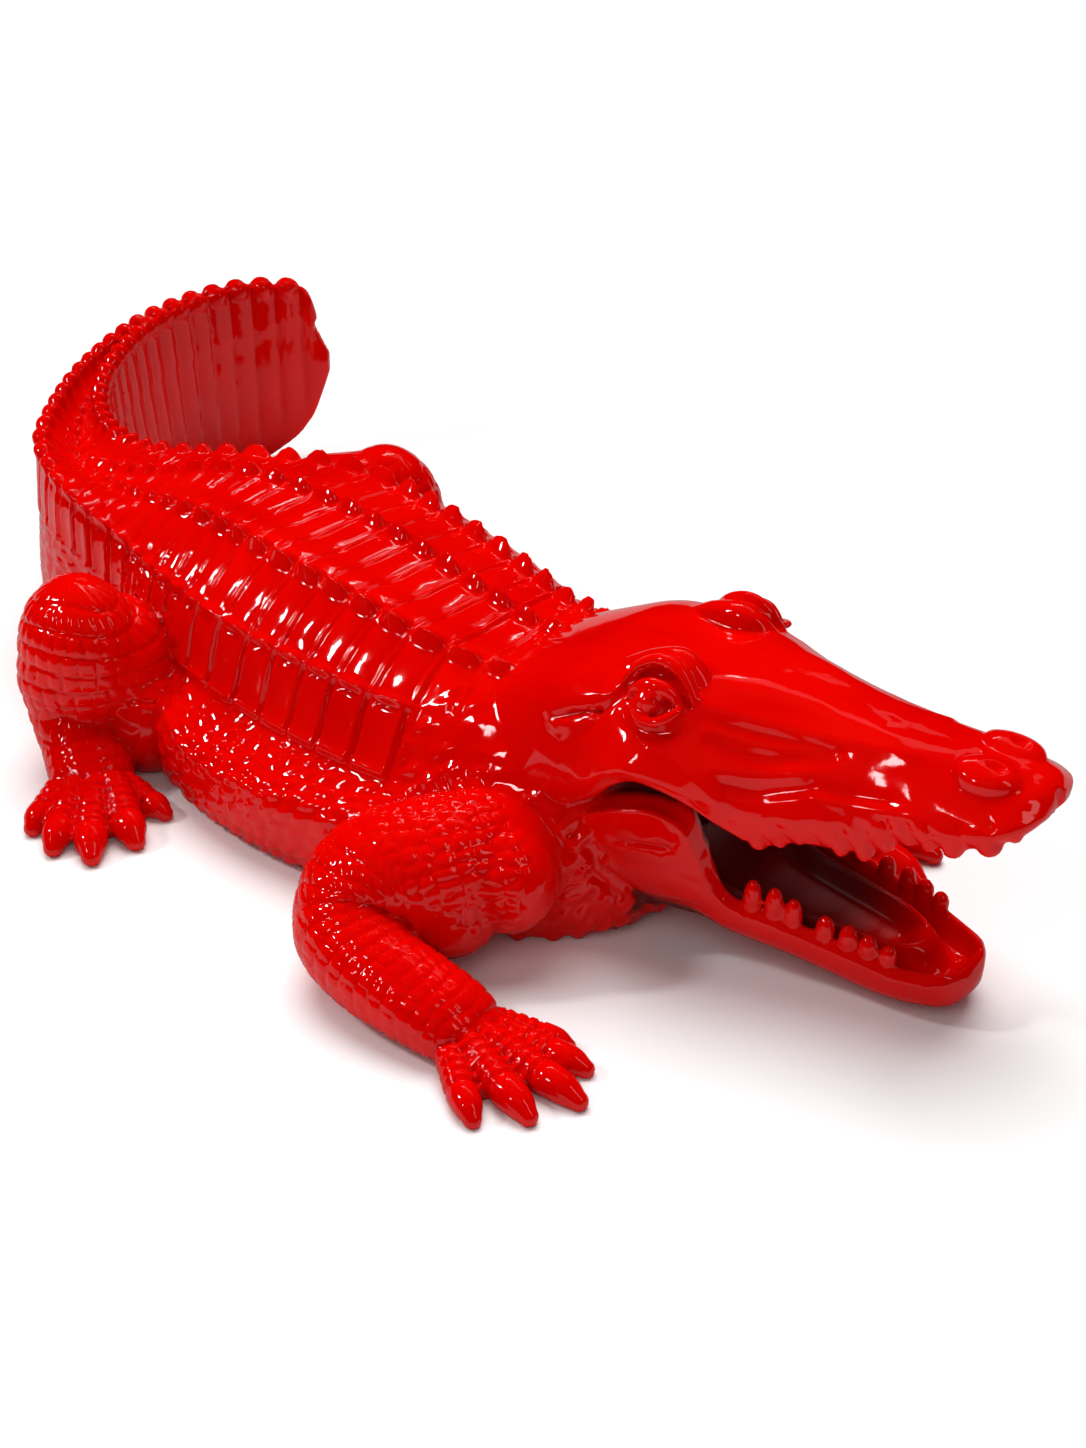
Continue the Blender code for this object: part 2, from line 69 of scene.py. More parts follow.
# Body from neck to tail tip. Columns: x, y of the middle line, underside, spine height, then (out, up)
# of the keel, right crest, right plate edge, widest point and low flank, then half the belly's width,
# then (out, up) of the left crest and left plate edge, which stand higher than the right ones
BODY = np.array([
    [392, 67, 26, 180, 16, 181, 40, 174, 56, 140, 70, 92, 64, 52, 36, 40, 176, 56, 146],
    [370, 63, 13, 195, 20, 196, 50, 187, 72, 150, 98, 92, 94, 36, 60, 50, 189, 72, 158],
    [335, 54, 4, 206, 28, 207, 62, 196, 88, 158, 119, 94, 117, 24, 88, 62, 198, 88, 166],
    [280, 36, 0, 207, 34, 208, 78, 190, 120, 140, 143, 92, 143, 17, 112, 82, 198, 116, 164],
    [225, 14, 0, 207, 40, 208, 87, 180, 125, 124, 152, 88, 148, 18, 112, 95, 202, 126, 176],
    [150, 2, 0, 208, 45, 209, 94, 172, 127, 113, 171, 82, 167, 17, 130, 104, 202, 134, 180],
    [60, 0, 0, 215, 50, 216, 104, 172, 134, 110, 189, 77, 184, 16, 142, 114, 208, 146, 186],
    [-40, 0, 0, 219, 54, 220, 110, 173, 136, 110, 188, 77, 183, 16, 140, 122, 213, 150, 190],
    [-130, 2, 0, 217, 51, 218, 108, 174, 130, 114, 160, 79, 154, 16, 112, 120, 213, 140, 186],
    [-210, -10, 0, 216, 45, 218, 98, 184, 117, 130, 120, 84, 112, 18, 76, 102, 206, 115, 176],
    [-290, -34, 0, 203, 25, 205, 74, 202, 83, 146, 90, 72, 84, 18, 56, 74, 204, 84, 160],
    [-350, -42, 0, 196, 14, 200, 51, 209, 61, 150, 68, 72, 64, 18, 47, 51, 209, 62, 152],
    [-410, -28, 0, 190, 9, 194, 38, 214, 47, 150, 54, 74, 51, 18, 40, 38, 214, 47, 150],
    [-466, 10, 0, 192, 6, 195, 25, 216, 32, 150, 40, 74, 38, 18, 31, 25, 216, 32, 150],
    [-520, 64, 0, 197, 4, 199, 17, 217, 23, 152, 30, 72, 29, 18, 24, 17, 217, 23, 152],
    [-566, 130, 0, 202, 3, 204, 12, 218, 18, 154, 25, 70, 24, 16, 19, 12, 218, 18, 154],
    [-600, 206, 0, 206, 2, 208, 9, 219, 15, 156, 21, 70, 20, 16, 15, 9, 219, 15, 156],
    [-609, 280, 0, 210, 2, 212, 8, 220, 14, 158, 18, 76, 17, 20, 12, 8, 220, 14, 158],
    [-598, 336, 3, 213, 2, 214, 7, 221, 12, 164, 15, 92, 13, 42, 9, 7, 221, 12, 164],
    [-573, 376, 30, 212, 2, 213, 6, 219, 10, 178, 12, 122, 10, 82, 6, 6, 219, 10, 178],
    [-561, 391, 50, 209, 2, 210, 5, 215, 8, 174, 10, 120, 8, 88, 5, 5, 215, 8, 174],
    [-553, 401, 72, 167, 2, 168, 4, 171, 7, 150, 9, 118, 7, 98, 5, 4, 171, 7, 150],
    [-541, 411, 114, 135, 1, 135, 3, 137, 5, 134, 6, 127, 5, 120, 3, 3, 137, 5, 134],
], float)

# Points of the trunk's outline, counted up one side from the underside's middle
PLATE_EDGE, CREST, KEEL, SPINE = 4, 5, 6, 7

# Points that the smooth rings get between one point of the outline and the next
TRUNK_COUNTS = (12, 24, 26, 44, 38, 38, 28)
SKULL_COUNTS = (14, 8, 14, 22, 24)

# How far the throat reaches ahead of the neck, which distances along the body count from
THROAT = 58.5

# Distance between scute rows, where the row lies this far behind the neck
ROW_PITCH = np.array([[0, 33], [200, 38], [420, 36], [520, 29], [650, 24], [850, 25], [1300, 30]], float)

# Upper head. Columns: along the head, palate height, inner lip (out, up), lip (out, up), cheek
# (out, up), top edge (out, up), height of the middle line
SKULL = np.array([
    [-170, 110, 84, 100, 96, 104, 104, 150, 70, 206, 220],
    [-120, 122, 92, 112, 106, 118, 114, 158, 80, 227, 242],
    [-85, 138, 96, 130, 110, 132, 118, 166, 84, 242, 255],
    [-50, 160, 98, 152, 113, 154, 121, 180, 80, 251, 261],
    [-15, 190, 98, 183, 116, 186, 122, 206, 72, 255, 262],
    [15, 196, 94, 188, 113, 190, 117, 208, 66, 259, 266],
    [45, 188, 86, 176, 104, 178, 106, 202, 57, 259, 268],
    [75, 176, 74, 160, 93, 160, 95, 192, 49, 257, 267],
    [102, 170, 64, 152, 85, 152, 88, 188, 43, 255, 263],
    [135, 174, 58, 162, 79, 163, 81, 194, 39, 251, 258],
    [165, 178, 53, 166, 72, 166, 74, 196, 36, 249, 255],
    [190, 182, 48, 170, 67, 171, 70, 200, 34, 249, 254],
    [215, 192, 46, 184, 63, 187, 66, 210, 33, 250, 254],
    [245, 198, 44, 190, 60, 192, 64, 214, 31, 250, 255],
    [273, 206, 40, 198, 56, 200, 61, 219, 28, 250, 255],
    [295, 214, 34, 208, 52, 211, 57, 225, 25, 247, 251],
    [310, 222, 24, 216, 40, 219, 44, 229, 18, 241, 245],
    [319, 229, 12, 225, 22, 228, 25, 232, 10, 238, 240],
], float)

# Lower jaw. Columns: along the head, underside, half width, rim height, floor height, rim width
JAW = np.array([
    [-170, 20, 92, 104, 100, 40],
    [-120, 20, 102, 112, 108, 40],
    [-80, 20, 106, 124, 112, 40],
    [-40, 20, 109, 148, 122, 42],
    [-10, 22, 109, 161, 122, 42],
    [15, 23, 105, 163, 112, 38],
    [36, 24, 98, 152, 84, 28],
    [50, 24, 90, 118, 62, 22],
    [60, 23, 83, 90, 52, 18],
    [76, 22, 78, 77, 47, 15],
    [110, 19, 71, 71, 44, 14],
    [150, 13, 64, 64, 42, 14],
    [190, 8, 60, 59, 38, 14],
    [218, 7, 54, 53, 34, 14],
    [240, 8, 46, 51, 33, 14],
    [254, 10, 38, 51, 36, 14],
    [263, 17, 26, 48, 40, 14],
    [269, 26, 10, 42, 38, 12],
], float)

# Limbs. Columns: x, y, z of the middle line, radius and height over width, on the right side
FORE_LEG = np.array([
    [300, -92, 80, 58, 1.0], [282, -148, 84, 63, 1.0],
    [256, -200, 78, 60, 1.0], [264, -237, 57, 49, 1.0],
    [304, -248, 45, 43, 0.94], [348, -243, 37, 42, 0.86],
    [386, -234, 27, 41, 0.74], [412, -230, 17, 34, 0.55],
], float)
HIND_LEG = np.array([
    [-150, -70, 84, 60, 1.0], [-168, -124, 84, 54, 1.0],
    [-178, -170, 108, 62, 1.0], [-186, -196, 100, 58, 1.0],
    [-184, -204, 66, 46, 1.0], [-160, -216, 40, 40, 0.9],
    [-128, -230, 28, 40, 0.75], [-104, -238, 20, 34, 0.62],
], float)

# The left haunch stands higher than the mirrored right one, and this thigh joins it to the body
LEFT_THIGH = [[-236, 120, 136, 52, 1.0], [-222, 140, 142, 55, 1.0], [-200, 172, 138, 60, 1.0]]

# Toes: root, knuckle and tip in plan, and the radius at the root
FORE_TOES = [
    ((398, -252), (445, -278), (473, -291), 13.5),
    ((402, -240), (462, -251), (502, -257), 15.0),
    ((404, -228), (470, -220), (517, -215), 15.0),
    ((402, -214), (456, -195), (492, -182), 13.5),
    ((396, -204), (434, -183), (460, -171), 11.5),
]
HIND_TOES = [
    ((-129, -260), (-118, -290), (-110, -312), 15.0),
    ((-113, -258), (-88, -292), (-69, -317), 16.0),
    ((-97, -247), (-61, -279), (-32, -300), 16.5),
    ((-88, -232), (-54, -247), (-24, -256), 17.0),
    ((-95, -216), (-68, -212), (-44, -207), 13.5),
]

# Teeth: distance along the head, length and radius
LOWER_TEETH = [(88, 19, 8.5), (107, 19, 8.5), (124, 17, 8.0), (152, 14, 8.0), (173, 14, 8.0),
               (191, 13, 8.0), (208, 12, 7.5)]
UPPER_TEETH = [(100, 10, 9), (118, 8, 7), (134, 6, 6), (168, 11, 8), (187, 14, 9), (204, 11, 8),
               (222, 6, 6), (238, 9, 7), (258, 12, 11), (286, 13, 12), (303, 7, 7)]

# Tubes of the face in the head's frame: along, out, up, radius
BROW = [(-74, 60, 238, 9), (-51, 55, 250, 11), (-24, 49, 265, 12), (0, 47, 270, 13), (17, 50, 262, 11),
        (26, 60, 246, 8)]
BROW_FOLD = [(-55, 87, 240, 5), (-47, 86, 242, 5), (-40, 79, 249, 5), (-34, 71, 261, 5.5),
             (-22, 66, 273, 6), (-5, 65, 279, 6), (10, 66, 274, 6), (20, 68, 262, 5.5),
             (25, 70, 250, 5), (28, 70, 242, 4)]
UPPER_LID = [(-27, 84, 250, 4), (-20, 85, 259, 5), (-9, 84, 265, 6), (3, 83, 265, 6), (13, 81, 259, 5),
             (19, 80, 250, 4)]
LOWER_LID = [(-19, 94, 248, 4), (-9, 100, 242, 4.5), (5, 101, 242, 4.5), (15, 96, 246, 4.5),
             (22, 87, 252, 3.5)]
POUCH = [(-33, 81, 241, 5), (-31, 87, 234, 6), (-20, 92, 228, 7), (-5, 93, 228, 7), (10, 89, 230, 6),
         (24, 82, 233, 5), (35, 76, 238, 3.5)]
EAR_TOP = [(-104, 92, 208, 4), (-95, 92, 219, 6), (-80, 90, 227, 7), (-67, 88, 234, 7), (-52, 86, 240, 6)]
EAR_FLAP = [(-95, 95, 204, 6), (-82, 98, 207, 9), (-67, 98, 213, 9), (-54, 94, 223, 6)]

# Round forms. Centre and radii: in the world for the limbs, in the head's frame for the face
LIMB_ROUNDS = [
    ("knee", (-183, -192, 119), (64, 57, 79)),
    ("groin", (-142, -156, 52), (58, 46, 58)),
    ("armpit", (290, -160, 60), (56, 52, 48)),
    ("shoulder", (322, -118, 82), (54, 44, 50)),
]
LEFT_HAUNCH = ("haunch", (-184, 196, 125), (63, 53, 80))
FACE_ROUNDS = [
    ("eye", (-7.0, 85.0, 251.5), (14, 14, 14)),
    ("nostril", (264.0, 21.0, 247.0), (31, 22, 13)),
]
SNOUT_END = ("snout_end", (294.0, 0.0, 232.0), (27, 40, 18))

# The seeds that scatter the scales: a square grid of places, repeated
SEEDS = 256
JITTER = np.random.RandomState(7).uniform(0.16, 0.84, (SEEDS, SEEDS, 2))


def smooth_rows(table, positions):
    """Rows read from a smooth curve through the table's rows, at these positions from 0 to the last row."""
    padded = np.vstack([2 * table[0] - table[1], table, 2 * table[-1] - table[-2]])
    first = np.clip(np.floor(positions).astype(int), 0, len(table) - 2)
    f = (positions - first)[:, None]
    p0, p1, p2, p3 = (padded[first + k] for k in range(4))
    return 0.5 * (2 * p1 + (p2 - p0) * f + (2 * p0 - 5 * p1 + 4 * p2 - p3) * f**2
                  + (3 * p1 - p0 - 3 * p2 + p3) * f**3)


def even_rows(table, step, columns=(0, 1)):
    """The smooth curve through the table, cut into steps of even length, and the distance at each cut."""
    positions = np.linspace(0, len(table) - 1, 6000)
    rows = smooth_rows(table, positions)
    moves = np.linalg.norm(np.diff(rows[:, list(columns)], axis=0), axis=1)
    along = np.concatenate([[0], np.cumsum(moves)])
    count = max(4, int(round(along[-1] / step)) + 1)
    wanted = np.linspace(0, along[-1], count)
    return smooth_rows(table, np.interp(wanted, along, positions)), wanted


def bump(x, width):
    """1 at x = 0, falling smoothly to 0 at x = width."""
    t = np.clip(np.abs(x) / width, 0, 1)
    return (1 - t * t) ** 2


def step_up(x, low, high):
    """0 up to x = low, rising smoothly to 1 at x = high."""
    t = np.clip((x - low) / (high - low), 0, 1)
    return t * t * (3 - 2 * t)


def pillow(x, width):
    """0 at x = 0, rounding up to 1 at x = width, like the edge of a cushion."""
    t = 1 - np.clip(x / width, 0, 1)
    return np.sqrt(1 - t * t)


def curve(x, *pairs):
    """A value read from (x, value) pairs."""
    return np.interp(x, [p[0] for p in pairs], [p[1] for p in pairs])


def outlines(middle, right, left, counts):
    """Smooth closed rings through the underside's middle, the right side's points, the top's middle and
    the left side's. Returns rings x n x 2, and each point's place along them, counted up the right side."""
    mirror = [points * [-1, 1] for points in left[::-1]]
    loop = np.stack([middle[0]] + right + [middle[1]] + mirror, axis=1)
    steps = list(counts) + list(counts)[::-1]
    total = loop.shape[1]
    found, places = [], []
    for k in range(total):
        p0, p1, p2, p3 = (loop[:, (k + d) % total] for d in (-1, 0, 1, 2))
        for f in np.arange(steps[k]) / steps[k]:
            found.append(0.5 * (2 * p1 + (p2 - p0) * f + (2 * p0 - 5 * p1 + 4 * p2 - p3) * f**2
                                + (3 * p1 - p0 - 3 * p2 + p3) * f**3))
            places.append(k + f)
    return np.stack(found, axis=1), np.array(places)


def mesh_of(name, grid):
    """A closed mesh from rings of points: rings x n x 3, in units, with flat ends."""
    rings, n, _ = grid.shape
    corner = np.arange(rings * n).reshape(rings, n)
    nxt = np.roll(corner, -1, axis=1)
    faces = np.stack([corner[:-1], nxt[:-1], nxt[1:], corner[1:]], axis=-1).reshape(-1, 4)
    mesh = bpy.data.meshes.new(name)
    ends = [list(map(int, corner[0][::-1])), list(map(int, corner[-1]))]
    mesh.from_pydata((grid.reshape(-1, 3) * UNIT).tolist(), [], faces.tolist() + ends)
    shape = bmesh.new()
    shape.from_mesh(mesh)
    bmesh.ops.recalc_face_normals(shape, faces=shape.faces)
    shape.to_mesh(mesh)
    shape.free()
    return mesh


def grid_normals(grid):
    """Outward unit normals of a ring grid."""
    along = np.gradient(grid, axis=0)
    around = np.roll(grid, -1, axis=1) - np.roll(grid, 1, axis=1)
    normal = np.cross(around, along)
    normal /= np.linalg.norm(normal, axis=2, keepdims=True) + 1e-9
    middle = grid.mean(axis=1, keepdims=True)
    if ((grid - middle) * normal).sum() < 0:
        normal = -normal
    return normal


def row_phase(along):
    """How many scute rows lie ahead of this distance behind the neck."""
    fine = np.linspace(along[0], along[-1], 4000)
    pitch = np.interp(fine, ROW_PITCH[:, 0], ROW_PITCH[:, 1])
    rows = np.concatenate([[0], np.cumsum(np.diff(fine) / pitch[1:])])
    return np.interp(along, fine, rows - np.interp(0.0, fine, rows))


def cells(x, y):
    """Distances to the nearest and second nearest of scattered seeds, one in each unit square."""
    col, row = np.floor(x).astype(int), np.floor(y).astype(int)
    first = np.full(np.shape(x), 9.0)
    second = np.full(np.shape(x), 9.0)
    for dx in (-1, 0, 1):
        for dy in (-1, 0, 1):
            seed = JITTER[(col + dx) % SEEDS, (row + dy) % SEEDS]
            gap = np.hypot(col + dx + seed[..., 0] - x, row + dy + seed[..., 1] - y)
            second = np.minimum(second, np.maximum(first, gap))
            first = np.minimum(first, gap)
    return first, second


def scale_relief(x, y):
    """Rounded scales, one in each unit square: 0 in the valleys between them, 1 on top."""
    first, second = cells(x, y)
    return pillow(second - first, 0.5) * (1 - 0.35 * np.clip(first, 0, 1))


def bricks(x, y):
    """Rounded scales in rows, one row in each unit of y and about one scale in each unit of x."""
    row = np.floor(y).astype(int)
    shift = JITTER[row % SEEDS, 11, 0] * 3.0
    column = np.floor(x + shift).astype(int)
    wide = JITTER[column % SEEDS, row % SEEDS, 1] * 0.3
    fx, fy = x + shift - column, y - row
    edge = np.minimum(np.minimum(fx + 0.1 * wide, 1 - fx + 0.1 * wide), np.minimum(fy, 1 - fy))
    return pillow(edge, 0.4)


def trunk_and_tail():
    """The body from neck to tail tip, with its scutes, keels, flank scales and tail whorls."""
    rows, along = even_rows(BODY, TRUNK_STEP)
    along -= THROAT
    heading = np.gradient(rows[:, :2], axis=0)
    heading /= np.linalg.norm(heading, axis=1, keepdims=True)
    left = np.stack([heading[:, 1], -heading[:, 0]], axis=1)
    base = rows[:, 2]
    middle = [np.stack([0 * base, base], 1), np.stack([0 * base, rows[:, 3]], 1)]
    shared = [np.stack([rows[:, 14], base], 1), rows[:, 12:14], rows[:, 10:12]]
    right = shared + [rows[:, 8:10], rows[:, 6:8], rows[:, 4:6]]
    left_side = shared + [rows[:, 17:19], rows[:, 15:17], rows[:, 4:6]]
    flat, place = outlines(middle, right, left_side, TRUNK_COUNTS)
    grid = np.empty(flat.shape[:2] + (3,))
    out = -flat[:, :, 0]
    grid[:, :, :2] = rows[:, None, :2] + out[:, :, None] * left[:, None, :]
    grid[:, :, 2] = flat[:, :, 1]
    relief = trunk_relief(flat, place, along)
    # The very tip, where the tail has left the floor, is too thin for relief
    carved = (base < 70)[:, None]
    grid = grid + grid_normals(grid) * (relief * carved)[:, :, None]
    return mesh_of("trunk", grid)


def trunk_relief(flat, place, along):
    """How far each point of the trunk's rings stands off its smooth form."""
    # Height up the skin from the underside's middle, and how far above each point of the outline it is
    step = np.linalg.norm(np.roll(flat, -1, axis=1) - flat, axis=2)
    run = np.cumsum(step, axis=1) - step
    total = step.sum(axis=1, keepdims=True)
    is_right = (place <= SPINE)[None]
    rise = np.where(is_right, run, total - run)

    def above(point):
        on_right = int(np.argmin(np.abs(place - point)))
        on_left = int(np.argmin(np.abs(place - (2 * SPINE - point))))
        return rise - np.where(is_right, rise[:, on_right:on_right + 1], rise[:, on_left:on_left + 1])

    over_edge, over_crest, over_keel = above(PLATE_EDGE), above(CREST), above(KEEL)

    # Distance behind the neck, share of the scute row and distance to the nearest joint between rows
    s = along[:, None]
    f = (row_phase(along) % 1.0)[:, None]
    pitch = np.interp(along, ROW_PITCH[:, 0], ROW_PITCH[:, 1])[:, None]
    joint = np.minimum(f, 1 - f) * pitch
    neck = step_up(s, 10, 70)
    tail = step_up(s, 640, 800)
    back = 1 - tail
    boxes = step_up(s, 166, 182)

    # Back: plates between the keels, and between each keel and its crest
    on_top = step_up(over_crest, 0, 4)
    uneven = 0.3 * waves(s / 24.0, rise / 30.0)
    welt = 2.0 * bump(joint, 2.2) - 1.8 * bump(joint - 4.2, 2.8)
    middle_plates = step_up(over_keel, -14, -8)
    plated = neck * middle_plates + step_up(s, 118, 150) * (1 - middle_plates)
    dished = welt + 0.3 - 0.8 * (2 * f - 1) ** 2 + uneven
    shape = on_top * plated * dished * (1 - 0.4 * tail)

    # Keels: thin rounded fins with hollow sides
    keel_height = curve(s, (0, 4), (60, 12), (250, 16), (450, 15), (600, 10), (750, 6), (950, 3), (1150, 0))
    disc = np.sqrt(np.clip(1 - ((f - 0.5) / 0.45) ** 2, 0, 1))
    side = np.clip(np.abs(over_keel) / (5.5 + 4.0 * disc), 0, 1)
    shape += keel_height * disc * (1 - side) ** 1.25
    shape -= back * neck * 0.9 * bump(np.abs(over_keel) - 12.0, 5.0) * bump(f - 0.5, 0.42)

    # Crests: tall spikes on the left, low beads with a hollow beneath on the right
    tall = curve(s, (0, 6), (80, 13), (250, 17), (500, 15), (650, 10), (800, 9), (1000, 9), (1250, 8),
                 (1330, 3))
    low = curve(s, (0, 3), (80, 5), (450, 6), (650, 7), (800, 8), (1000, 8), (1250, 7), (1330, 3))
    height = np.where(is_right, low * boxes, tall)
    hump = np.sin(np.pi * np.clip((f - 0.05) / 0.9, 0, 1)) ** 0.62
    width = (5.0 + 4.5 * hump) * (1 + 0.3 * tail)
    side = np.clip(np.abs(over_crest) / width, 0, 1)
    shape += height * hump * ((1 - side) ** 1.5 * back + (1 - side**2) ** 1.4 * tail)
    shape += 1.8 * back * boxes * (1 - np.clip(np.abs(over_crest) / 4.0, 0, 1))
    shape -= back * boxes * is_right * 5.0 * bump(over_crest + 6.0, 4.5) * bump(f - 0.52, 0.40)

    # Flank plates: raised boxes with a rim and an overhanging lower lip, set apart by grooves
    raised = step_up(over_edge, -3.0, 1.0)
    shape += 4.0 * raised * (1 - 0.6 * tail) * boxes
    plate = step_up(joint, 1.4, 3.2)
    strip = raised * (1 - step_up(over_crest, -6, -2)) * back * boxes
    rim = 1.9 * bump(joint - 4.4, 2.4) + 1.6 * bump(over_edge - 3.0, 3.4)
    shape += strip * (5.2 * plate - 4.2 + rim + uneven)

    # Flank scales
    below = 1 - step_up(over_edge, -9, -4)
    flank = np.maximum(below, 1 - boxes) * step_up(rise - 20, 0, 50)
    flank *= back * (1 - step_up(over_crest, -4, 6))
    first, second = cells((s + 0.4 * rise) / 18.0, rise / 14.5)
    scale = 0.7 * step_up(second - first, 0.0, 0.55) + 0.6 * bump(first, 0.7)
    nape = (1 - step_up(s, 150, 176)) * step_up(rise, 15, 45) * (1 - step_up(over_keel, -30, -12))
    shape += flank * (1 - 0.8 * nape) * (2.8 * scale - 1.3)

    # Neck: rounded nubs, lower towards the top
    first, _ = cells((s + 0.2 * rise + 300) / 23.0, (rise + 90) / 19.0)
    shape += nape * (1 - 0.55 * step_up(flat[:, :, 1], 110, 160)) * 4.6 * bump(first, 0.6)

    # Tail: whorls like fingers, cut across into cells on the outer wall
    depth = curve(s, (640, 0), (760, 2.4), (900, 3.4), (1100, 4.6), (1250, 5.6))
    whorl = np.sqrt(np.clip(1 - (2 * f - 1) ** 2, 0, 1)) - 1
    wall = (1 - step_up(over_crest, 0, 5)) * step_up(rise, 20, 60)
    shape += wall * depth * whorl
    cell = 22.0
    across = np.abs((rise / cell + 0.5) % 1.0 - 0.5) * cell
    inner_wall = curve(s, (850, 1), (1100, 0.3))
    cut_low = curve(s, (640, 1), (1150, 1), (1250, 0.2)) * np.where(is_right, 1.0, inner_wall)
    shape += wall * tail * 1.8 * cut_low * (pillow(across, 3.0) - 1)
    trough = step_up(over_crest, 3, 9) * tail
    shape += trough * (pillow(joint, 3.0) - 1)

    at_tip = step_up(s, along[-1] - 26, along[-1])
    return shape * ((1 - at_tip) * 0.8 + 0.2)


def head_to_world(along, out, up):
    """Points of the head's frame in the world, in units. out is to the creature's right."""
    c, s = math.cos(HEAD_TURN), math.sin(HEAD_TURN)
    x = HEAD_ORIGIN[0] + along * c + out * s
    y = HEAD_ORIGIN[1] + along * s - out * c
    return np.stack([x, y, up], axis=-1)


def world_to_head(points):
    """Points of the world in the head's frame: along, out and up."""
    c, s = math.cos(HEAD_TURN), math.sin(HEAD_TURN)
    x, y = points[:, 0] - HEAD_ORIGIN[0], points[:, 1] - HEAD_ORIGIN[1]
    return np.stack([x * c + y * s, x * s - y * c, points[:, 2]], axis=1)


def upper_head():
    """Skull and snout down to the palate."""
    rows, _ = even_rows(SKULL, SKULL_STEP, columns=(0, 10))
    zero = 0 * rows[:, 0]
    middle = [np.stack([zero, rows[:, 1]], 1), np.stack([zero, rows[:, 10]], 1)]
    side = [rows[:, 2:4], rows[:, 4:6], rows[:, 6:8], rows[:, 8:10]]
    flat, _ = outlines(middle, side, side, SKULL_COUNTS)
    along = np.repeat(rows[:, 0:1], flat.shape[1], axis=1)
    return mesh_of("skull", head_to_world(along, flat[:, :, 0], flat[:, :, 1]))


def lower_jaw():
    """The jaw with its raised rim, a sunk floor and the tray that lines the mouth."""
    rows, _ = even_rows(JAW, JAW_STEP, columns=(0, 2))
    t, low, half, rim, floor, lip = rows.T
    across = np.linspace(-1, 1, 101)
    end = JAW[-1, 0]
    inward = np.minimum((1 - np.abs(across))[None] * half[:, None], (end - t)[:, None] * 1.1)
    rim_shape = bump(inward - lip[:, None] * 0.55, lip[:, None] * 0.95)
    top = floor[:, None] + (rim - floor)[:, None] * rim_shape
    edge = (rim - 6)[:, None]
    top = np.where(inward < lip[:, None] * 0.55, np.maximum(top, edge), top)
    top += mouth_tray(t, across, half)
    angle = np.linspace(math.pi, 2 * math.pi, 63)[1:-1]
    under_out = np.sign(np.cos(angle)) * np.abs(np.cos(angle)) ** 0.7
    under_up = np.abs(np.sin(angle)) ** 0.8
    under = edge - (edge - low[:, None]) * under_up[None]
    out = np.concatenate([across[None] * half[:, None], -under_out[None] * half[:, None]], axis=1)
    up = np.concatenate([top, under], axis=1)
    along = np.repeat(t[:, None], out.shape[1], axis=1)
    return mesh_of("jaw", head_to_world(along, out, up))


def mouth_tray(t, across, half):
    """Height of the oval ridge round the mouth's lining."""
    middle, reach = 112.0, 106.0
    along = (t[:, None] - middle) / reach
    out = across[None] * half[:, None] / np.maximum(half[:, None] - 30, 6)
    ring = (np.abs(along) ** 4 + np.abs(out) ** 4) ** 0.25
    return 22 * bump(ring - 1.0, 0.26) * (t[:, None] > 20)


def ellipsoid(name, centre, radii, turn=0.0):
    """A closed ellipsoid in world units."""
    shape = bmesh.new()
    bmesh.ops.create_uvsphere(shape, u_segments=40, v_segments=26, radius=1.0)
    c, s = math.cos(turn), math.sin(turn)
    for v in shape.verts:
        x, y, z = v.co.x * radii[0], v.co.y * radii[1], v.co.z * radii[2]
        v.co = Vector((centre[0] + x * c - y * s, centre[1] + x * s + y * c, centre[2] + z)) * UNIT
    mesh = bpy.data.meshes.new(name)
    shape.to_mesh(mesh)
    shape.free()
    return mesh


def tube(name, table, around=48):
    """A round limb along a path of points, radii and how far the height is squeezed, with domed ends."""
    rows, _ = even_rows(np.asarray(table, float), TUBE_STEP, columns=(0, 1, 2))
    first = dome_rows(rows[0], rows[1] - rows[0])
    last = dome_rows(rows[-1], rows[-2] - rows[-1])
    rows = np.vstack([first[::-1], rows, last])
    ahead = np.gradient(rows[:, :3], axis=0)
    ahead /= np.linalg.norm(ahead, axis=1, keepdims=True) + 1e-9
    side = np.cross(ahead, [0, 0, 1.0])
    side /= np.linalg.norm(side, axis=1, keepdims=True) + 1e-9
    top = np.cross(side, ahead)
    angle = np.linspace(0, 2 * math.pi, around, endpoint=False)
    ring = (side[:, None] * np.cos(angle)[None, :, None]
            + top[:, None] * np.sin(angle)[None, :, None] * rows[:, None, 4:5])
    grid = rows[:, None, :3] + ring * rows[:, None, 3:4]
    return mesh_of(name, grid)


def dome_rows(row, inward):
    """Extra rings that round off a tube's end, nearest the tube first."""
    direction = -inward[:3] / (np.linalg.norm(inward[:3]) + 1e-9)
    made = []
    for angle in (0.25, 0.5, 0.75, 0.95, 1.15, 1.3, 1.42, 1.52):
        centre = row[:3] + direction * row[3] * math.sin(angle)
        made.append([*centre, row[3] * math.cos(angle), row[4]])
    return np.array(made)


def toe_path(root, knuckle, tip, radius):
    """The middle line of a toe that lies on the floor and ends in a blunt claw."""
    root, knuckle, tip = (np.array(p, float) for p in (root, knuckle, tip))
    return [
        [*root, radius * 1.7, radius * 0.9, 1],
        [*((root + knuckle) / 2), radius * 1.35, radius, 1],
        [*knuckle, radius, radius * 1.02, 1],
        [*(knuckle * 0.4 + tip * 0.6), radius * 0.88, radius * 0.9, 1],
        [*(knuckle * 0.06 + tip * 0.94), radius * 0.56, radius * 0.58, 1],
    ]


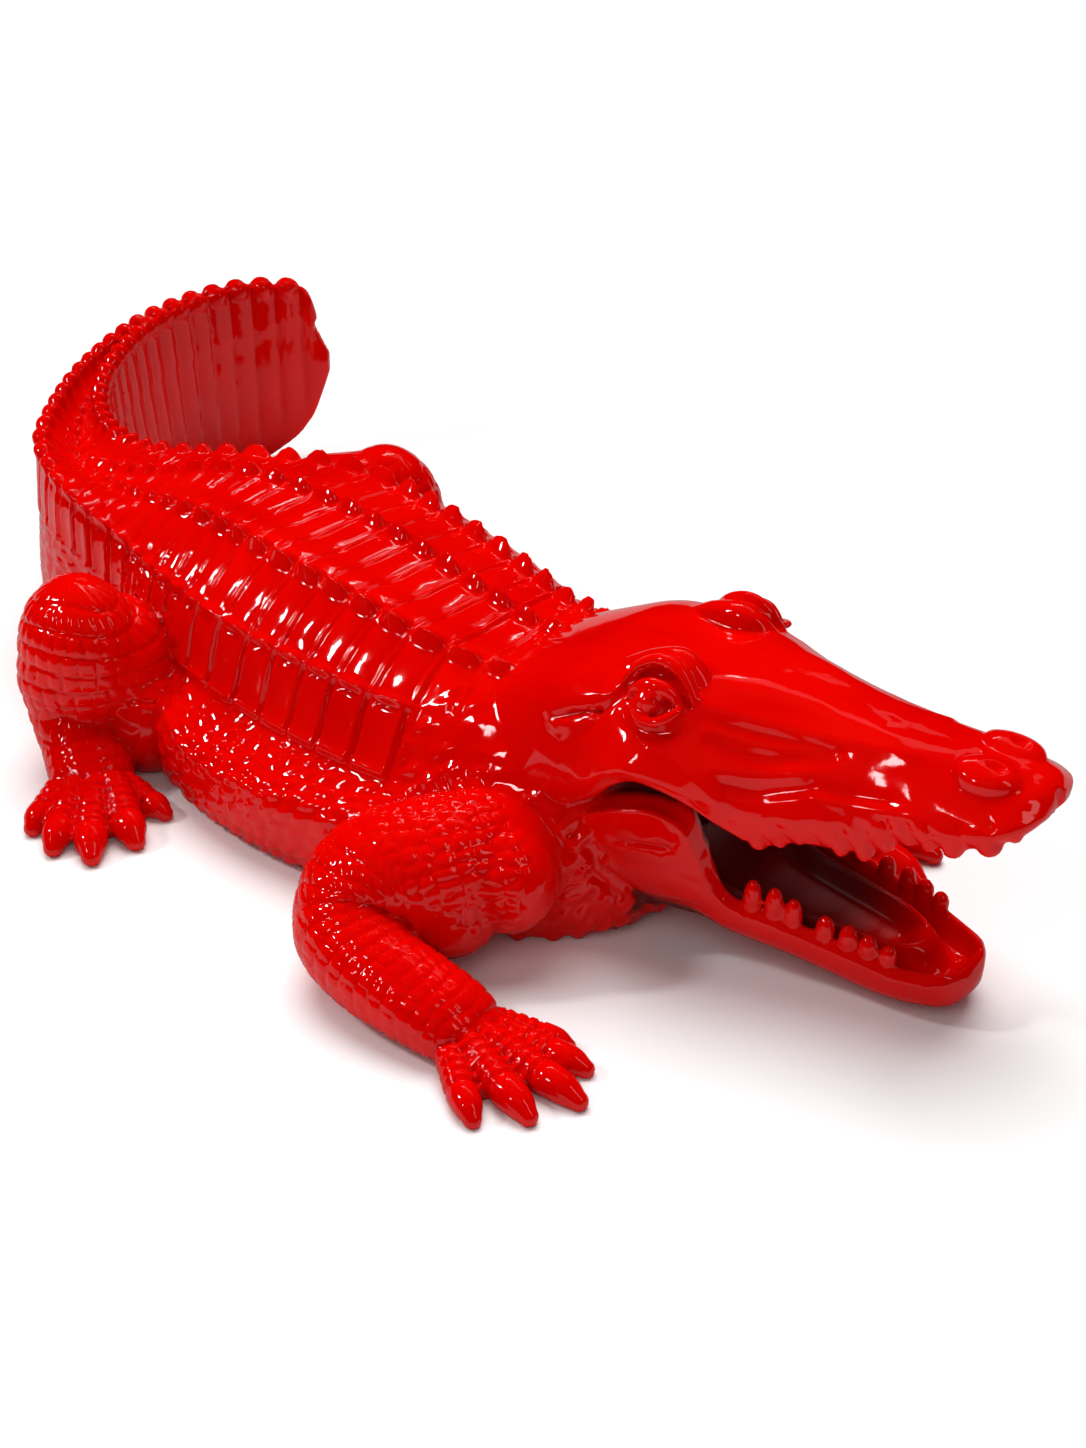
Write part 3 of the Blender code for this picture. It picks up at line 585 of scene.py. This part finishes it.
def web(toes):
    """The skin between the toes, from the palm to the knuckles."""
    height = 9.0
    centre = np.mean([np.array(t[0]) for t in toes], axis=0)
    made = []
    for a, b in zip(toes[:-1], toes[1:]):
        mid = (np.array(a[1]) + np.array(b[1])) / 2
        spread = np.linalg.norm(np.array(a[1]) - np.array(b[1])) / 2
        reach = mid * 0.86 + centre * 0.14
        path = [[*centre, height, spread * 0.9, 0.4], [*((centre + reach) / 2), height * 0.9, spread, 0.4],
                [*reach, height * 0.7, spread * 0.8, 0.4]]
        made.append(tube("web", path))
    return made


def mirrored(mesh):
    """The same limb on the creature's left side."""
    copy = mesh.copy()
    for v in copy.vertices:
        v.co.y = -v.co.y
    copy.flip_normals()
    return copy


def legs():
    """The legs, their toes and webs, and the left haunch, which differs from the right one."""
    right = [tube("fore_leg", FORE_LEG, 90), tube("hind_leg", HIND_LEG, 90)]
    right += [ellipsoid(*form) for form in LIMB_ROUNDS]
    for toes in (FORE_TOES, HIND_TOES):
        right += [tube("toe", toe_path(*t)) for t in toes]
        right += web(toes)
    return right + [mirrored(m) for m in right] + [ellipsoid(*LEFT_HAUNCH), tube("thigh", LEFT_THIGH, 90)]


def teeth():
    """The teeth along the jaw's rim, and the lobes and teeth along the upper lip."""
    made = []
    for along, length, radius in LOWER_TEETH:
        half, rim = np.interp(along, JAW[:, 0], JAW[:, 2]), np.interp(along, JAW[:, 0], JAW[:, 3])
        for sign in (-1, 1):
            centre = head_to_world(along, sign * (half - 10), rim + length * 0.3)
            made.append(ellipsoid("tooth", centre, (radius, radius * 0.9, length), HEAD_TURN))
    for along, length, radius in UPPER_TEETH:
        half, lip = lip_at(along)
        for sign in (-1, 1):
            centre = head_to_world(along, sign * (half - 3), lip + 2)
            made.append(ellipsoid("tooth", centre, (radius, radius * 0.8, length), HEAD_TURN))
    return made


def lip_at(along):
    """How far out and how high the upper lip lies here."""
    return np.interp(along, SKULL[:, 0], SKULL[:, 4]), np.interp(along, SKULL[:, 0], SKULL[:, 5])


def face():
    """Brows, lids, eyes, nostril mounds, ear folds and the snout's end."""
    made = []
    for sign in (-1, 1):
        for name, (t, out, up), radii in FACE_ROUNDS:
            made.append(ellipsoid(name, head_to_world(t, sign * out, up), radii, HEAD_TURN))
        for line in (BROW, BROW_FOLD, UPPER_LID, LOWER_LID, POUCH, EAR_TOP, EAR_FLAP):
            made.append(tube("lid", [[*head_to_world(t, sign * out, up), r, 1] for t, out, up, r in line]))
    name, place, radii = SNOUT_END
    made.append(ellipsoid(name, head_to_world(*place), radii, HEAD_TURN))
    return made


def joined(name, meshes):
    """One mesh from many."""
    shape = bmesh.new()
    for mesh in meshes:
        shape.from_mesh(mesh)
        bpy.data.meshes.remove(mesh)
    mesh = bpy.data.meshes.new(name)
    shape.to_mesh(mesh)
    shape.free()
    return mesh


def applied(obj):
    """Replaces an object's mesh with what its modifiers make."""
    graph = bpy.context.evaluated_depsgraph_get()
    mesh = bpy.data.meshes.new_from_object(obj.evaluated_get(graph))
    obj.modifiers.clear()
    obj.data = mesh
    return mesh


def limb_places(points, table):
    """For points near a limb: distance along it, arc round it and the share of its radius they lie out."""
    rows, along = even_rows(table, LIMB_STEP, columns=(0, 1, 2))
    ahead = np.gradient(rows[:, :3], axis=0)
    ahead /= np.linalg.norm(ahead, axis=1, keepdims=True)
    side = np.cross(ahead, [0, 0, 1.0])
    side /= np.linalg.norm(side, axis=1, keepdims=True)
    top = np.cross(side, ahead)
    best = np.full(len(points), 1e9)
    near = np.zeros(len(points), int)
    for k, row in enumerate(rows):
        gap = ((points - row[:3]) ** 2).sum(axis=1)
        closer = gap < best
        best[closer] = gap[closer]
        near[closer] = k
    off = points - rows[near, :3]
    s = along[near] + (off * ahead[near]).sum(axis=1)
    angle = np.arctan2((off * top[near]).sum(axis=1), (off * side[near]).sum(axis=1))
    return s, angle, np.sqrt(best) / rows[near, 3]


def fold_right(points):
    """The points with the left side's folded onto the right."""
    folded = points.copy()
    folded[:, 1] = -np.abs(folded[:, 1])
    return folded


def limb_relief(points):
    """Pebbles and bands on the legs, rings on the toes."""
    folded = fold_right(points)
    found = np.zeros(len(points))
    for table, reach, style in ((FORE_LEG, 1.5, "fore"), (HIND_LEG, 1.6, "hind")):
        low, high = table[:, :3].min(axis=0) - 95, table[:, :3].max(axis=0) + 95
        close = np.where(((folded > low) & (folded < high)).all(axis=1))[0]
        s, angle, share = limb_places(folded[close], table)
        x = s / 12.5
        if style == "fore":
            y = angle * curve(s, (0, 5.0), (110, 4.6), (200, 3.0), (330, 3.6)) + 40
            start = step_up(s, 0, 20)
            tall = curve(s, (0, 2.8), (150, 2.6), (230, 2.2), (330, 1.8))
            banded = step_up(s, 96, 130)
        else:
            y = angle * 3.2 + 40
            start = step_up(s, 40, 62)
            tall = curve(s, (0, 2.6), (150, 2.6), (260, 1.8))
            banded = 1.0
            # Rings round the knee, level with the floor
            from_knee = folded[close] - [-183, -194, 120]
            on_knee = 1 - step_up(np.linalg.norm(from_knee / [74, 64, 88], axis=1), 1.15, 1.35)
            around = np.arctan2(from_knee[:, 1], from_knee[:, 0])
            level = (folded[close][:, 2] + 5 * np.sin(2 * around)) / 18.0
            x = np.where(on_knee > 0.5, level, x)
            y = np.where(on_knee > 0.5, around * 3.6 + 40, y)
            tall = np.where(on_knee > 0.5, 3.4, tall)
            start = np.maximum(start, on_knee)
        weight = start * (1 - step_up(share, reach - 0.3, reach))
        pebbles, bands = scale_relief(x, y), bricks(y, x + 0.2 * np.sin(3 * angle))
        domes = pebbles * (1 - banded) + bands * banded
        found[close] += weight * tall * (domes - 0.5)
    for toes in (FORE_TOES, HIND_TOES):
        for toe in toes:
            path = np.array(toe_path(*toe))
            low, high = path[:, :3].min(axis=0) - 20, path[:, :3].max(axis=0) + 20
            close = np.where(((folded > low) & (folded < high)).all(axis=1))[0]
            s, angle, share = limb_places(folded[close], path)
            claw = np.linalg.norm(path[-1, :2] - path[0, :2]) * 0.66
            pitch = 9.5
            ring = np.abs((s / pitch) % 1.0 - 0.5) * pitch
            weight = (1 - step_up(share, 1.15, 1.4)) * (folded[close][:, 2] > 4)
            found[close] -= weight * (s < claw) * 1.7 * bump(ring, 2.8)
            found[close] -= weight * 1.8 * bump(s - claw, 2.4)
    return found


# Lines drawn on the head. Each is a width, how far it stands up, and points along, out, up
HEAD_LINES = [
    # Slit pupil
    (1.0, -0.8, [(-7, 96, 258), (-7, 99, 251), (-7, 96, 245)]),
    # Slits between the eyeball and its lids
    (1.4, -2.2, [(-22, 88, 252), (-16, 92, 258), (-8, 94, 260), (0, 93, 259), (7, 89, 255), (12, 85, 251)]),
    (1.4, -1.6, [(-20, 90, 248), (-13, 95, 244), (-4, 97, 243), (5, 95, 244), (12, 89, 248)]),
    # Groove under the lower lid
    (4.0, -5.0, [(-34, 86, 236), (-20, 98, 230), (0, 102, 230), (18, 98, 236), (30, 88, 246)]),
    # Valley between brow and upper lid
    (2.3, -5.0, [(-40, 82, 245), (-33, 77, 256), (-28, 72, 264), (-14, 70, 272), (5, 68, 272),
                 (17, 71, 262), (23, 74, 251)]),
    # Ear slit, the groove round the ear's flap and the fold from ear to eye
    (2.2, -7.0, [(-92, 100, 212), (-76, 100, 221), (-63, 98, 227), (-51, 96, 231)]),
    (2.6, -4.0, [(-103, 99, 207), (-96, 104, 198), (-81, 107, 196), (-66, 106, 202), (-54, 103, 214),
                 (-47, 97, 228)]),
    (2.8, -5.0, [(-51, 96, 231), (-43, 93, 235), (-37, 87, 242), (-31, 80, 248)]),
    # Under the pouch
    (1.6, -2.6, [(-24, 100, 221), (-15, 101, 219), (-6, 101, 220)]),
    # Ridge and creases along the snout
    (5.0, 2.0, [(28, 70, 256), (39, 66, 252), (57, 63, 250), (82, 57, 248), (113, 49, 247), (163, 39, 248),
                (205, 33, 249)]),
    (3.4, -1.8, [(34, 76, 244), (52, 71, 243), (82, 62, 240), (118, 53, 239), (150, 47, 240)]),
    (5.0, -3.0, [(50, 83, 231), (74, 76, 224), (98, 69, 224), (121, 61, 229), (146, 52, 234)]),
    (6.0, 2.2, [(8, 107, 222), (29, 102, 217), (53, 100, 202), (67, 99, 188)]),
    (5.0, -2.6, [(74, 90, 200), (98, 83, 199), (121, 75, 207), (140, 67, 213)]),
    (5.0, 2.0, [(60, 92, 212), (84, 85, 212), (106, 76, 217), (130, 68, 222)]),
    (4.0, -1.6, [(150, 66, 214), (176, 62, 216), (204, 60, 220)]),
    (4.0, 1.6, [(140, 72, 205), (170, 68, 206), (200, 65, 212), (226, 62, 216)]),
    # Nostrils: the crater, its rim and the crease behind the boss
    (3.4, -6.5, [(269, 22, 262), (276, 22, 260)]),
    (3.0, -2.2, [(246, 40, 246), (240, 30, 250), (241, 16, 253), (250, 6, 254)]),
    # Notch in the middle of the upper lip
    (3.6, -4.5, [(321, 0, 238), (323, 0, 228), (320, 0, 220)]),
    # Lip above the corner of the mouth, and the creases of the jaw and throat
    (3.0, 1.6, [(-89, 108, 134), (-59, 114, 152), (-33, 117, 173), (-8, 118, 190), (20, 116, 191),
                (46, 106, 180), (70, 98, 167), (90, 90, 157)]),
    (2.2, -3.2, [(-21, 110, 118), (0, 108, 123), (25, 103, 126)]),
    (4.0, -2.2, [(-60, 110, 108), (-20, 110, 100), (20, 106, 100), (50, 92, 92)]),
    (3.6, -5.0, [(-105, 118, 139), (-88, 120, 124), (-66, 121, 102), (-44, 114, 81), (-24, 98, 54),
                 (-14, 64, 24)]),
    (4.0, 2.4, [(-96, 120, 142), (-79, 121, 127), (-57, 120, 106), (-36, 113, 86), (-16, 97, 60)]),
    (3.2, -3.6, [(-67, 117, 118), (-46, 113, 97), (-27, 104, 74), (-8, 84, 51)]),
    (3.0, -3.0, [(-45, 112, 90), (-20, 104, 74), (10, 88, 50), (50, 60, 30)]),
]


def lip_flutes():
    """Slanting grooves that run up from the gaps between the lobes of the upper lip."""
    found = []
    for (a, _, _), (b, _, _) in zip(UPPER_TEETH[:-1], UPPER_TEETH[1:]):
        t = (a + b) / 2
        half, lip = lip_at(t)
        line = [(t + 1, half + 1, lip - 2), (t - 3, half + 3, lip + 8), (t - 9, half + 4, lip + 18)]
        found.append((2.6, -2.8, line))
    return found


def waves(x, y):
    """Gentle undulation between -1 and 1, about one unit across."""
    col, row = np.floor(x).astype(int), np.floor(y).astype(int)
    fx, fy = x - col, y - row
    fx, fy = fx * fx * (3 - 2 * fx), fy * fy * (3 - 2 * fy)
    corner = [[JITTER[(col + a) % SEEDS, (row + b) % SEEDS, 0] for b in (0, 1)] for a in (0, 1)]
    low = corner[0][0] * (1 - fy) + corner[0][1] * fy
    high = corner[1][0] * (1 - fy) + corner[1][1] * fy
    return (low * (1 - fx) + high * fx - 0.5) * 2.9


def line_relief(points):
    """Grooves and welts along the lines on the head, and its hand-worked unevenness."""
    local = world_to_head(points)
    t, out, up = local.T
    on_head = step_up(t, -110, -50) * (up > 60)
    girth = np.abs(out) + up + 500 * (out > 0)
    found = on_head * (0.7 * waves(t / 42.0, girth / 15.0) + 0.35 * waves(t / 19.0 + 40, girth / 8.0))
    for width, height, line in HEAD_LINES + lip_flutes():
        line = np.array(line, float)
        for sign in (1, -1):
            way = line * [1, sign, 1]
            low, high = way.min(axis=0) - width * 2.5, way.max(axis=0) + width * 2.5
            close = np.where(((local > low) & (local < high)).all(axis=1))[0]
            if not len(close):
                continue
            some = local[close]
            best = np.full(len(close), 1e9)
            for a, b in zip(way[:-1], way[1:]):
                ab = b - a
                share = np.clip(((some - a) @ ab) / (ab @ ab), 0, 1)
                best = np.minimum(best, np.linalg.norm(some - a - share[:, None] * ab, axis=1))
            found[close] += height * bump(best, width * 2)
    return found


def vertex_places(mesh):
    values = np.empty(len(mesh.vertices) * 3)
    mesh.vertices.foreach_get("co", values)
    return values.reshape(-1, 3)


def vertex_normals(mesh):
    values = np.empty(len(mesh.vertices) * 3)
    mesh.vertex_normals.foreach_get("vector", values)
    return values.reshape(-1, 3)


def flatten_underside(mesh):
    """Cuts the casting level just above its lowest points, as the part's source does."""
    shape = bmesh.new()
    shape.from_mesh(mesh)
    level = SOLE_DEPTH * UNIT
    everything = shape.verts[:] + shape.edges[:] + shape.faces[:]
    bmesh.ops.bisect_plane(shape, geom=everything, plane_co=(0, 0, level), plane_no=(0, 0, -1),
                           clear_outer=True)
    open_edges = [e for e in shape.edges if e.is_boundary]
    bmesh.ops.holes_fill(shape, edges=open_edges)
    bmesh.ops.translate(shape, verts=shape.verts, vec=(0, 0, -level))
    bmesh.ops.triangulate(shape, faces=shape.faces)
    shape.to_mesh(mesh)
    shape.free()


def melt(obj, points):
    """Softens the seams where the forms of the head meet, and leaves the scutes and the eyes sharp."""
    t, out, up = world_to_head(points).T
    eye = step_up(t, -50, -38) * (1 - step_up(t, 24, 34)) * step_up(up, 224, 234)
    eye *= step_up(np.abs(out), 58, 68)
    weight = step_up(t, -120, -90) * step_up(points[:, 2], 60, 80) * (1 - eye)
    group = obj.vertex_groups.new(name="melt")
    for level in (0.25, 0.5, 0.75, 1.0):
        chosen = np.where((weight > level - 0.25) & (weight <= level))[0]
        group.add(chosen.tolist(), level, "REPLACE")
    soften = obj.modifiers.new("melt", "SMOOTH")
    soften.iterations = 6
    soften.factor = 0.5
    soften.vertex_group = "melt"


def skin():
    """The whole casting as one fine mesh."""
    pieces = [trunk_and_tail(), upper_head(), lower_jaw()] + legs() + teeth() + face()
    obj = bpy.data.objects.new("crocodile_skin", joined("crocodile_skin", pieces))
    bpy.context.scene.collection.objects.link(obj)
    fuse = obj.modifiers.new("fuse", "REMESH")
    fuse.mode = "VOXEL"
    fuse.voxel_size = VOXEL * UNIT
    soften = obj.modifiers.new("soften", "SMOOTH")
    soften.iterations = 2
    soften.factor = 0.5
    mesh = applied(obj)
    melt(obj, vertex_places(mesh) / UNIT)
    fine = applied(obj)
    points = vertex_places(fine) / UNIT
    relief = limb_relief(points) + line_relief(points)
    points += vertex_normals(fine) * relief[:, None]
    fine.vertices.foreach_set("co", (points * UNIT).ravel())
    fine.update()
    thin = obj.modifiers.new("thin", "DECIMATE")
    # The voxel mesh is of quads, and each makes two triangles
    thin.ratio = min(1.0, TRIANGLES / (2.0 * len(fine.polygons)))
    mesh = applied(obj)
    flatten_underside(mesh)
    carry_normals(mesh, fine)
    # The mask for the shade painted into the mouth's lacquer
    mark_mouth_shade(mesh)
    return obj


def mark_mouth_shade(mesh):
    """Keeps, for the lacquer, how deep in the mouth each point lies: where painted shade darkens its colour
    and where it is rougher.
    """
    t, out, up = world_to_head(vertex_places(mesh) / UNIT).T
    half = np.interp(t, JAW[:, 0], JAW[:, 2])
    palate = np.interp(t, SKULL[:, 0], SKULL[:, 1])
    depth = step_up(half - np.abs(out), 14, 24) * (1 - step_up(up, palate - 2, palate + 5))
    depth *= step_up(t, -60, -30) * (1 - step_up(t, 130, 215))
    depth *= step_up(up, 24, 34)
    mesh.attributes.new("mouth", "FLOAT", "POINT").data.foreach_set("value", depth.astype(np.float32))


def carry_normals(mesh, fine):
    """Shades the cut mesh with the normals of the fine mesh that it was thinned from."""
    faces = [tuple(p.vertices) for p in fine.polygons]
    points, normals = vertex_places(fine), vertex_normals(fine)
    tree = BVHTree.FromPolygons([v.co.copy() for v in fine.vertices], faces)
    level = SOLE_DEPTH * UNIT
    found = []
    for v in mesh.vertices:
        at = Vector((v.co.x, v.co.y, v.co.z + level))
        _, _, index, _ = tree.find_nearest(at)
        corners = faces[index]
        gaps = [1.0 / (1e-6 + (at - Vector(points[c])).length) for c in corners]
        normal = sum((normals[c] * g for c, g in zip(corners, gaps)), np.zeros(3))
        found.append(tuple(normal / (np.linalg.norm(normal) + 1e-12)))
    mesh.shade_smooth()
    mesh.normals_split_custom_set_from_vertices(found)


# Roughness of the lacquer outside and in the mouth, the floor's colour as seen and as the lacquer mirrors
# it, how far the floor reaches and where the softboxes point, in metres
GLOSS = 0.06
MOUTH_GLOSS = 0.42
FLOOR_COLOR = (0.95, 0.95, 0.95)
FLOOR_IN_LACQUER = (0.34, 0.34, 0.34)
FLOOR_REACH = 9.0
LIGHTS_AIM = Vector((0.05, 0.05, 0.1))


def lacquer():
    """Gloss red lacquer with the slight orange peel of sprayed paint, duller in the mouth, where painted
    shade also darkens its colour.
    """
    material = bpy.data.materials.new("red_lacquer")
    material.use_nodes = True
    nodes, links = material.node_tree.nodes, material.node_tree.links
    shader = nodes["Principled BSDF"]
    shader.inputs["Roughness"].default_value = GLOSS
    shader.inputs["IOR"].default_value = 1.5
    where = nodes.new("ShaderNodeTexCoord")
    patches = nodes.new("ShaderNodeTexNoise")
    patches.inputs["Scale"].default_value = 9.0
    patches.inputs["Detail"].default_value = 3.0
    links.new(where.outputs["Object"], patches.inputs["Vector"])
    tint = nodes.new("ShaderNodeValToRGB")
    tint.color_ramp.elements[0].position = 0.30
    tint.color_ramp.elements[0].color = (0.66, 0.0, 0.0, 1)
    tint.color_ramp.elements[1].position = 0.70
    tint.color_ramp.elements[1].color = (0.80, 0.001, 0.0, 1)
    links.new(patches.outputs["Fac"], tint.inputs["Fac"])
    # Painted shade: deep in the mouth the red is mixed towards a dark red, standing in for the shade
    # between the jaws; the same mask makes the lacquer rougher there
    mouth_shade_mask = nodes.new("ShaderNodeAttribute")
    mouth_shade_mask.attribute_name = "mouth"
    shaded = nodes.new("ShaderNodeMix")
    shaded.data_type = "RGBA"
    shaded.inputs["B"].default_value = (0.15, 0.0, 0.0, 1)
    links.new(mouth_shade_mask.outputs["Fac"], shaded.inputs["Factor"])
    links.new(tint.outputs["Color"], shaded.inputs["A"])
    links.new(shaded.outputs["Result"], shader.inputs["Base Color"])
    matt = nodes.new("ShaderNodeMapRange")
    matt.inputs["To Min"].default_value = GLOSS
    matt.inputs["To Max"].default_value = MOUTH_GLOSS
    links.new(mouth_shade_mask.outputs["Fac"], matt.inputs["Value"])
    links.new(matt.outputs["Result"], shader.inputs["Roughness"])
    peel = nodes.new("ShaderNodeTexNoise")
    peel.inputs["Scale"].default_value = 160.0
    peel.inputs["Detail"].default_value = 2.0
    links.new(where.outputs["Object"], peel.inputs["Vector"])
    rise = nodes.new("ShaderNodeBump")
    rise.inputs["Strength"].default_value = 0.12
    rise.inputs["Distance"].default_value = 0.0006
    links.new(peel.outputs["Fac"], rise.inputs["Height"])
    links.new(rise.outputs["Normal"], shader.inputs["Normal"])
    return material


def plain(name, color, roughness):
    """A matt material of one colour."""
    material = bpy.data.materials.new(name)
    material.use_nodes = True
    shader = material.node_tree.nodes["Principled BSDF"]
    shader.inputs["Base Color"].default_value = (*color, 1)
    shader.inputs["Roughness"].default_value = roughness
    shader.inputs["Specular IOR Level"].default_value = 0.0
    return material


def floor():
    """The plain pale floor."""
    mesh = bpy.data.meshes.new("floor")
    r = FLOOR_REACH
    mesh.from_pydata([(-r, -r, 0), (r, -r, 0), (r, r, 0), (-r, r, 0)], [], [(0, 1, 2, 3)])
    obj = bpy.data.objects.new("floor", mesh)
    bpy.context.scene.collection.objects.link(obj)
    material = plain("pale_floor", FLOOR_COLOR, 0.9)
    nodes, links = material.node_tree.nodes, material.node_tree.links

    # The lacquer mirrors a dimmer floor than the one that lights it
    path = nodes.new("ShaderNodeLightPath")
    dimmed = nodes.new("ShaderNodeMix")
    dimmed.data_type = "RGBA"
    dimmed.inputs["A"].default_value = (*FLOOR_COLOR, 1)
    dimmed.inputs["B"].default_value = (*FLOOR_IN_LACQUER, 1)
    links.new(path.outputs["Is Glossy Ray"], dimmed.inputs["Factor"])
    links.new(dimmed.outputs["Result"], nodes["Principled BSDF"].inputs["Base Color"])
    mesh.materials.append(material)


def softbox(name, direction, distance, size, power):
    """A soft light that hangs in this direction from the crocodile's middle and faces it."""
    light = bpy.data.lights.new(name, "AREA")
    light.shape = "RECTANGLE"
    light.size, light.size_y = size
    light.energy = power
    obj = bpy.data.objects.new(name, light)
    way = Vector(direction).normalized()
    obj.location = LIGHTS_AIM + way * distance
    obj.rotation_euler = way.to_track_quat("Z", "Y").to_euler()
    bpy.context.scene.collection.objects.link(obj)
    return obj


def reflected(obj):
    """Only mirrored in the lacquer: it lights nothing."""
    obj.visible_diffuse = False
    return obj


def flag(name, place, facing, size):
    """A black board that the lacquer mirrors instead of the far floor."""
    mesh = bpy.data.meshes.new(name)
    w, h = size[0] / 2, size[1]
    mesh.from_pydata([(-w, 0, 0), (w, 0, 0), (w, 0, h), (-w, 0, h)], [], [(0, 1, 2, 3)])
    obj = bpy.data.objects.new(name, mesh)
    obj.location = place
    obj.rotation_euler = (0, 0, facing)
    mesh.materials.append(plain("black_flag", (0.0, 0.0, 0.0), 1.0))
    bpy.context.scene.collection.objects.link(obj)
    obj.visible_camera = False
    obj.visible_diffuse = False
    obj.visible_shadow = False


def studio():
    """An even white room for the floor, and softboxes that the lacquer mirrors."""
    world = bpy.data.worlds.new("studio")
    world.use_nodes = True
    background = world.node_tree.nodes["Background"]
    background.inputs["Color"].default_value = (1, 1, 1, 1)
    background.inputs["Strength"].default_value = 0.12
    world.cycles_visibility.glossy = False
    bpy.context.scene.world = world
    # A wide, soft light from overhead, which the lacquer doesn't mirror
    overhead = bpy.data.lights.new("overhead", "SUN")
    overhead.angle = math.radians(54)
    overhead.energy = 3.1
    obj = bpy.data.objects.new("overhead", overhead)
    obj.rotation_euler = Vector((-0.30, 0.32, 1.0)).to_track_quat("Z", "Y").to_euler()
    obj.visible_glossy = False
    bpy.context.scene.collection.objects.link(obj)
    softbox("key", (-0.50, -0.56, 0.66), 3.2, (0.20, 0.40), 26)
    fill = softbox("front_fill", (0.52, -0.60, 0.60), 1.5, (0.9, 0.9), 3.2)
    fill.visible_glossy = False
    reflected(softbox("side_key", (-0.05, -0.80, 0.60), 3.0, (0.22, 0.5), 6.0))
    reflected(softbox("rim_strip", (-0.50, 0.42, 0.76), 3.0, (1.1, 0.07), 3.6))
    reflected(softbox("ceiling_panel", (-0.25, 0.55, 0.8), 3.0, (2.4, 0.7), 1.8))
    reflected(softbox("side_panel", (0.75, 0.1, 0.65), 3.0, (0.5, 1.6), 4.0))
    flag("flag", (-0.55, -0.85, 0.0), math.radians(-33), (3.0, 0.34))
    bpy.context.scene.view_settings.view_transform = "Standard"


def camera():
    """The photograph's own view: from the front right, 32 degrees above the floor."""
    azimuth, elevation, distance = math.radians(46), math.radians(32), 2.4
    look = Vector((0.08, 0.165, 0.0))
    back = Vector((math.sin(azimuth) * math.cos(elevation), -math.cos(azimuth) * math.cos(elevation),
                   math.sin(elevation)))
    focal_pixels, image_height = 2400.0, 1448.0
    lens = bpy.data.cameras.new("camera")
    lens.sensor_fit = "VERTICAL"
    lens.sensor_height = 36.0
    lens.lens = focal_pixels * lens.sensor_height / image_height
    lens.clip_start = 0.05
    lens.clip_end = 60.0
    obj = bpy.data.objects.new("camera", lens)
    obj.location = look + back * distance
    obj.rotation_euler = (-back).to_track_quat("-Z", "Y").to_euler()
    bpy.context.scene.collection.objects.link(obj)
    bpy.context.scene.camera = obj


body = skin()
body.data.materials.append(lacquer())
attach(body, "root")
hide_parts("crocodile")
floor()
studio()
camera()
